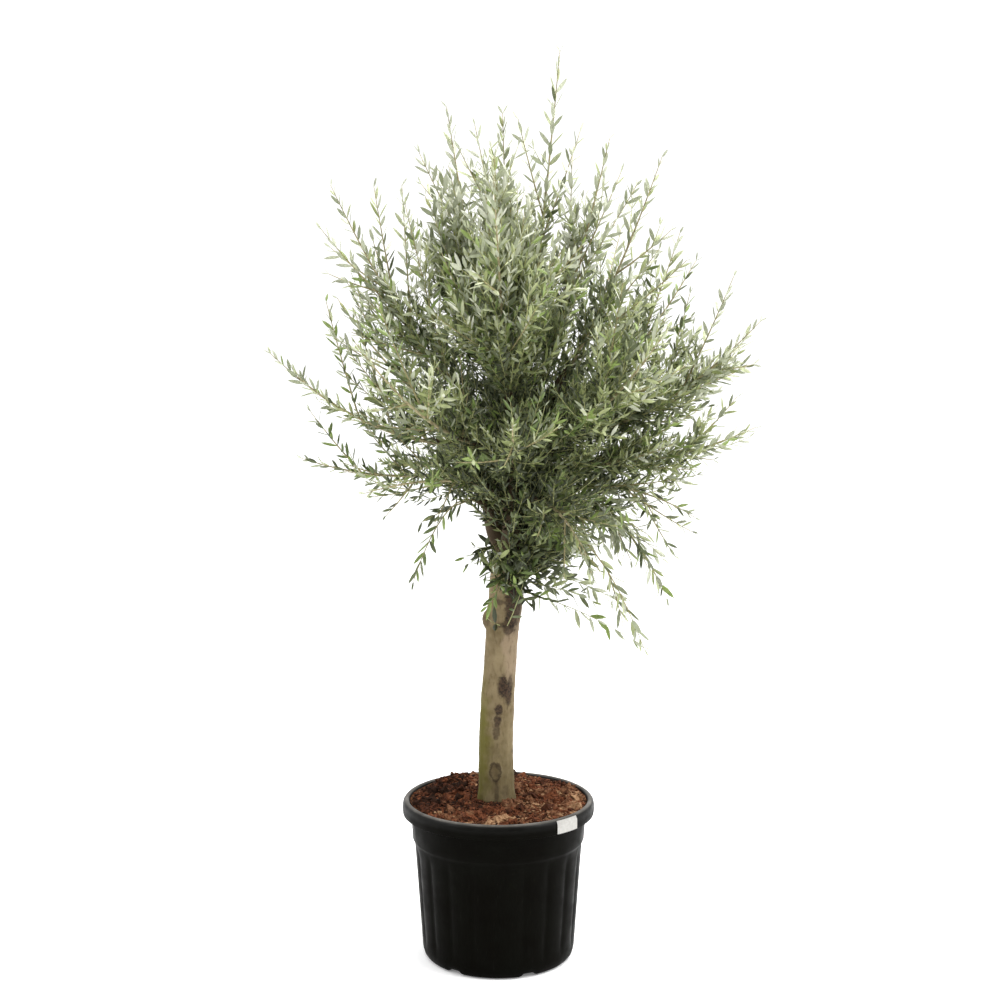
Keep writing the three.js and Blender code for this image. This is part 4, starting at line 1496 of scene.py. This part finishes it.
def shoots_of(carrier, rule, mass, draw, is_free):
    """The finer shoots that leave a line of wood, each cut back until it keeps to its space."""
    shoots = []
    first_turn = draw()
    rise = SPROUTING.rise if mass.lift > 0 else mass.lift
    bow = SPROUTING.bow if mass.lift > 0 else -SPROUTING.bow
    for i in range(int(length_of(carrier) * (rule.last - rule.first) / rule.every)):
        share = mix(rule.first, rule.last, fraction(0.5 + i * GROWTH.step_along))
        turn = 2 * math.pi * fraction(first_turn + i * GROWTH.step_around)
        lean = math.radians(mix(*rule.lean, draw()))
        full = mix(*rule.length, draw() ** 1.3) * (1 - SPROUTING.tip_loss * share)
        along = heading(carrier, share)
        direction = unit(square_to(along, turn) * math.sin(lean) + along * math.cos(lean) + UP * rise)
        root = on_bezier(carrier, share)[0]
        if draw() > fullness(root + direction * full, mass) or is_open_air(root + direction * full * 0.7):
            continue
        for cut in range(GROWTH.cuts):
            reach = direction * full * GROWTH.shorten**cut
            if all(is_free(root + reach * part, SHOOT.thick) for part in GROWTH.tested):
                shoots.append(arched(root, root + reach, bow))
                break
    return shoots


def grow_mass(index, limb, wood):
    """All the lines of one mass: kind of wood, curve, and share of it that is bare."""
    mass = MASSES[index]
    draw = seeded(index + 1)
    is_free = space_of(index, wood)
    bow = GROWTH.bow if mass.lift > 0 else -GROWTH.bow
    twigs = [arched(root, tip, bow) for root, tip in twigs_of(mass, draw, is_free)]
    twigs = [twig for twig in twigs if draw() < SPARSE.get(mass.name, 1)]
    for share, *tip in WANDS.get(mass.name, ()):
        twigs.append(arched(on_bezier(mass.stem, share)[0], np.array(tip), bow))
    shoots = shoots_of(limb.line, LIMB_SHOOTS, mass, draw, inner_space(wood))
    shoots += shoots_of(mass.stem, STEM_SHOOTS, mass, draw, is_free)
    for twig in twigs:
        shoots += shoots_of(twig, TWIG_SHOOTS, mass, draw, is_free)
    lines = [Sizes(wood=STEM if mass.lift > 0 else TWIG, curve=mass.stem, bare=LEAF.bare_stem)]
    lines += [Sizes(wood=TWIG, curve=twig, bare=LEAF.bare_twig) for twig in twigs]
    lines += [Sizes(wood=SHOOT, curve=shoot, bare=LEAF.bare_shoot) for shoot in shoots]
    for line in lines:
        line.hangs = line.large = mass.lift < 0
    return lines


def trunk_sprouts():
    """The few sprouts that have their own places on the trunk, and the many shoots round its head."""
    lines = []
    sunk = -TRUNK_SHOOT.sunk
    for height, turn, tip in SPROUTS:
        hangs = tip[2] < height
        bow = TRUNK_SHOOT.hanging_bow if hangs else TRUNK_SHOOT.bow
        curve = arched(np.array(on_trunk(height, turn, sunk)), np.array(tip), bow)
        lines.append(Sizes(wood=SHOOT, curve=curve, bare=TRUNK_SHOOT.bare, hangs=hangs, large=True))
    draw = seeded(len(MASSES) + 1)
    for rule in (HEAD_SHOOTS, BACK_SHOOTS):
        for _ in range(rule.count):
            turn = mix(*rule.turn, draw())
            root = np.array(on_trunk(mix(*rule.height, draw()), turn, sunk))
            outward = np.array((*round_about(turn), mix(*rule.climb, draw())))
            tip = root + unit(outward) * mix(*rule.length, draw())
            if is_open_air(tip):
                continue
            curve = arched(root, tip, TRUNK_SHOOT.short_bow)
            hangs = tip[0] < TRUNK_SHOOT.hangs_left_of
            bare = TRUNK_SHOOT.short_bare
            lines.append(Sizes(wood=SHOOT, curve=curve, bare=bare, hangs=hangs, large=True))
    return lines


# ---------------------------------------------------------------- twigs and leaves as joined meshes


def tube(line):
    """The wood of one line: rings of corners along it, with closed ends, as places and faces."""
    wood = line.wood
    rings = max(2, math.ceil(length_of(line.curve) / wood.step))
    middles = spaced(line.curve, rings)
    radii = np.linspace(wood.thick, wood.thin, rings + 1)
    forward = unit(np.gradient(middles, axis=0))
    side = square_to(forward, np.zeros(rings + 1))
    other = np.cross(forward, side)
    turn = 2 * math.pi * np.arange(wood.sides) / wood.sides
    round_way = side[:, None, :] * np.cos(turn)[:, None] + other[:, None, :] * np.sin(turn)[:, None]
    places = (middles[:, None, :] + round_way * radii[:, None, None]).reshape(-1, 3)
    faces = []
    for ring in range(rings):
        for i in range(wood.sides):
            a = ring * wood.sides + i
            b = ring * wood.sides + (i + 1) % wood.sides
            faces += [(a, b, b + wood.sides), (a, b + wood.sides, a + wood.sides)]
    last = rings * wood.sides
    for i in range(1, wood.sides - 1):
        faces += [(0, i + 1, i), (last, last + i, last + i + 1)]
    return places, np.array(faces)


# A leaf lies along X with its upper side up: half its outline as shares of length and of width.
LEAF_SIDE = [(0.17, 0.31), (0.44, 0.50), (0.76, 0.37)]


def leaf_shape():
    """One leaf as places, faces and whether each face is on the flat underside."""
    left = [(u, v, 0) for u, v in LEAF_SIDE]
    right = [(u, -v, 0) for u, v in reversed(LEAF_SIDE)]
    midrib = [(u, 0, LEAF.ridge) for u, _ in LEAF_SIDE]
    places = np.array([(0, 0, 0), *left, (1, 0, 0), *right, *midrib])
    half = [(0, 8, 1), (8, 9, 2), (8, 2, 1), (9, 10, 3), (9, 3, 2), (10, 4, 3)]
    mirror = [(0, 7, 8), (7, 6, 9), (7, 9, 8), (6, 5, 10), (6, 10, 9), (5, 4, 10)]
    bottom = [(0, 1, 7), (1, 2, 6), (1, 6, 7), (2, 3, 5), (2, 5, 6), (3, 4, 5)]
    underside = [0] * len(half + mirror) + [1] * len(bottom)
    return places, np.array(half + mirror + bottom), np.array(underside)


def leaf_places(leaves):
    """All corners of many leaves, from their roots, directions, faces up, lengths and widths."""
    shape, _, _ = leaf_shape()
    along = shape[:, 0]
    bend = -LEAF.arch * along**2
    length = leaves.length[:, None]
    width = leaves.width[:, None]
    rise = shape[:, 2] * width + bend * length * leaves.arch[:, None]
    across = np.cross(leaves.up, leaves.ahead)
    places = leaves.root[:, None, :] + leaves.ahead[:, None, :] * (along * length)[..., None]
    places = places + across[:, None, :] * (shape[:, 1] * width)[..., None]
    return places + leaves.up[:, None, :] * rise[..., None]


# Upper sides from painted deep shade to painted bright light on young growth, then their undersides; each
# leaf takes the one that its light calls for.
LEAF_TONES = [
    ("leaf in deep shade", rgb(50, 57, 31)),
    ("leaf in shade", rgb(74, 82, 45)),
    ("deep green leaf", rgb(100, 109, 62)),
    ("olive green leaf", rgb(124, 133, 82)),
    ("grey-green leaf", rgb(146, 154, 108)),
    ("young leaf", rgb(163, 169, 134)),
    ("shoot tip leaf", rgb(184, 187, 168)),
    ("fresh shaded leaf", rgb(82, 98, 46)),
    ("fresh green leaf", rgb(116, 134, 68)),
]
UNDERSIDES = [
    ("shaded underside", rgb(98, 106, 78)),
    ("silvery underside", rgb(148, 154, 128)),
    ("pale underside", rgb(178, 182, 160)),
]
UNDER_OF = np.array([0, 0, 0, 1, 1, 2, 2, 0, 1]) + len(LEAF_TONES)

# The tones of a shoot in fresh growth, in place of the first seven.
FRESH = Sizes(tones=np.array([0, 7, 7, 8, 8, 5, 6]), share=0.28)


def light_at(place):
    """How much light a place in the crown gets, from 0 low inside to 1 at the top and outside."""
    side = np.hypot(place[0] - CROWN.centre[0], LIGHT.depth * place[1]) / CROWN.reach[0]
    height = np.clip((place[2] - LIGHT.low) / LIGHT.rise, 0, 1)
    shade = (1 - height**2) * (1 - np.clip(LIGHT.side * side**LIGHT.side_power, 0, 1))
    return 1 - shade


def light_on(line):
    """How much light a line of wood gets."""
    middle = on_bezier(line.curve, 0.6)[0]
    if not line.hangs:
        return light_at(middle)
    light = HANGING_LIGHT.middle + HANGING_LIGHT.across * middle[0]
    return float(np.clip(light, HANGING_LIGHT.least, HANGING_LIGHT.most))


def leaf_roots(line, grown, chance):
    """Where pairs of leaves leave a line: the places, its direction there, and how far along they are."""
    count = max(2, int(length_of(line.curve) * (1 - line.bare) / (LEAF.every * grown)))
    steps = (np.arange(count) + 0.5 + chance.uniform(-LEAF.uneven, LEAF.uneven, count)) / count
    steps[-1] = LEAF.last
    shares = even_shares(line.curve, mix(line.bare, 1, np.clip(steps, 0, 1)))
    roots = on_bezier(line.curve, shares)
    return roots, unit(roots - on_bezier(line.curve, shares - 1e-3)), steps


def leaves_on(line, chance):
    """The pairs of leaves along one line, each pair crossed to the one before."""
    light = light_on(line)
    grown = LEAF.hanging if line.large else mix(LEAF.inner, 1, light)
    roots, along, steps = leaf_roots(line, grown, chance)
    count = len(steps)
    turns = 2 * math.pi * chance.random() + np.arange(count) * math.pi / 2
    root, along, step, turn = (np.repeat(values, 2, axis=0) for values in (roots, along, steps, turns))
    turn = turn + np.tile((0, math.pi), count) + chance.normal(0, LEAF.uneven, 2 * count)
    side = square_to(along, turn)
    spread = mix(LEAF.spread_foot, LEAF.spread_tip, step**1.4)
    spread = spread + chance.normal(0, LEAF.spread_varies, 2 * count)
    out, on = np.sin(np.radians(spread))[:, None], np.cos(np.radians(spread))[:, None]
    ahead = unit(side * out + along * on + UP * (LEAF.droop if line.hangs else LEAF.rise))
    facing = along * out - side * on + UP * LEAF.facing_up
    level = unit(facing - ahead * np.sum(facing * ahead, axis=1)[:, None])
    roll = np.radians(chance.normal(0, LEAF.roll, 2 * count))[:, None]
    from_foot = LEAF.foot_size + step * 1.4
    from_tip = mix(LEAF.tip_size, 1, np.clip((1 - step) * 5, 0, 1))
    growth = np.minimum(1, np.minimum(from_foot, from_tip))
    size = LEAF.length * grown * chance.uniform(LEAF.least, LEAF.most, 2 * count) * growth
    # Painted light: a leaf's tone, and with it the tone of its underside, follows the light that its shoot
    # gets.
    tone = TONE.by_light * light + TONE.start + chance.normal(0, TONE.shoots)
    tone = tone + chance.normal(0, TONE.leaves, 2 * count) + TONE.along * (step - 0.5)
    tone = np.clip(np.round(tone), 0, 6).astype(int)
    if chance.random() < FRESH.share:
        tone = FRESH.tones[tone]
    keep = chance.random(2 * count) > LEAF.lost
    leaves = Sizes(
        root=root,
        ahead=ahead,
        up=level * np.cos(roll) + np.cross(ahead, level) * np.sin(roll),
        length=size,
        width=size * LEAF.width * chance.uniform(*LEAF.width_varies, 2 * count),
        arch=chance.uniform(*LEAF.arch_varies, 2 * count),
        tone=tone,
    )
    return Sizes(**{name: values[keep] for name, values in vars(leaves).items()})


def make_leaves(name, lines, chance, materials, *nodes):
    grown = [vars(leaves_on(line, chance)) for line in lines]
    leaves = Sizes(**{part: np.concatenate([some[part] for some in grown]) for part in grown[0]})
    shape, faces, underside = leaf_shape()
    joined = copied_faces(faces, len(shape), len(leaves.root))
    tones = np.where(underside[None, :] == 1, UNDER_OF[leaves.tone][:, None], leaves.tone[:, None])
    piece = mesh_piece(name, leaf_places(leaves).reshape(-1, 3), joined, tones.reshape(-1))
    finish_piece(piece, "foliage", materials, *nodes)


def make_twigs(name, lines, materials, *nodes):
    parts = []
    for line in lines:
        places, faces = tube(line)
        parts.append((places, faces, np.full(len(faces), (STEM, TWIG, SHOOT).index(line.wood))))
    piece = gathered_piece(name, parts)
    smooth_shade(piece)
    finish_piece(piece, "bark", materials, *nodes)


def make_foliage(limbs):
    wood = wood_points(limbs)
    chance = np.random.default_rng(SEEDS.leaves)
    leaf_materials = [leaf_skin(name, colour, 0.46, 0.42) for name, colour in LEAF_TONES]
    leaf_materials += [leaf_skin(name, colour, 0.75, 0.2) for name, colour in UNDERSIDES]
    twig_materials = [
        twig_bark("stem bark", rgb(164, 154, 120), rgb(122, 112, 82)),
        twig_bark("twig bark", rgb(160, 152, 112), rgb(126, 116, 80)),
        twig_bark("shoot skin", rgb(166, 168, 118), rgb(132, 134, 86)),
    ]
    for bough in dict.fromkeys(mass.bough for mass in MASSES):
        members = [index for index, mass in enumerate(MASSES) if mass.bough == bough]
        nodes = [MASSES[index].name for index in members]
        lines = [line for index in members for line in grow_mass(index, limbs[index], wood)]
        make_leaves(f"leaves_{bough}", lines, chance, leaf_materials, *nodes)
        make_twigs(f"twigs_{bough}", lines, twig_materials, *nodes)
    sprouts = trunk_sprouts()
    make_leaves("trunk_sprout_leaves", sprouts, chance, leaf_materials)
    make_twigs("trunk_sprouts", sprouts, twig_materials)


# ---------------------------------------------------------------- the whole plant

set_camera()
set_studio()
make_pot()
dress_label()
make_soil_bed()
make_mulch()
limbs = lay_out_limbs()
make_bark(limbs)
make_foliage(limbs)
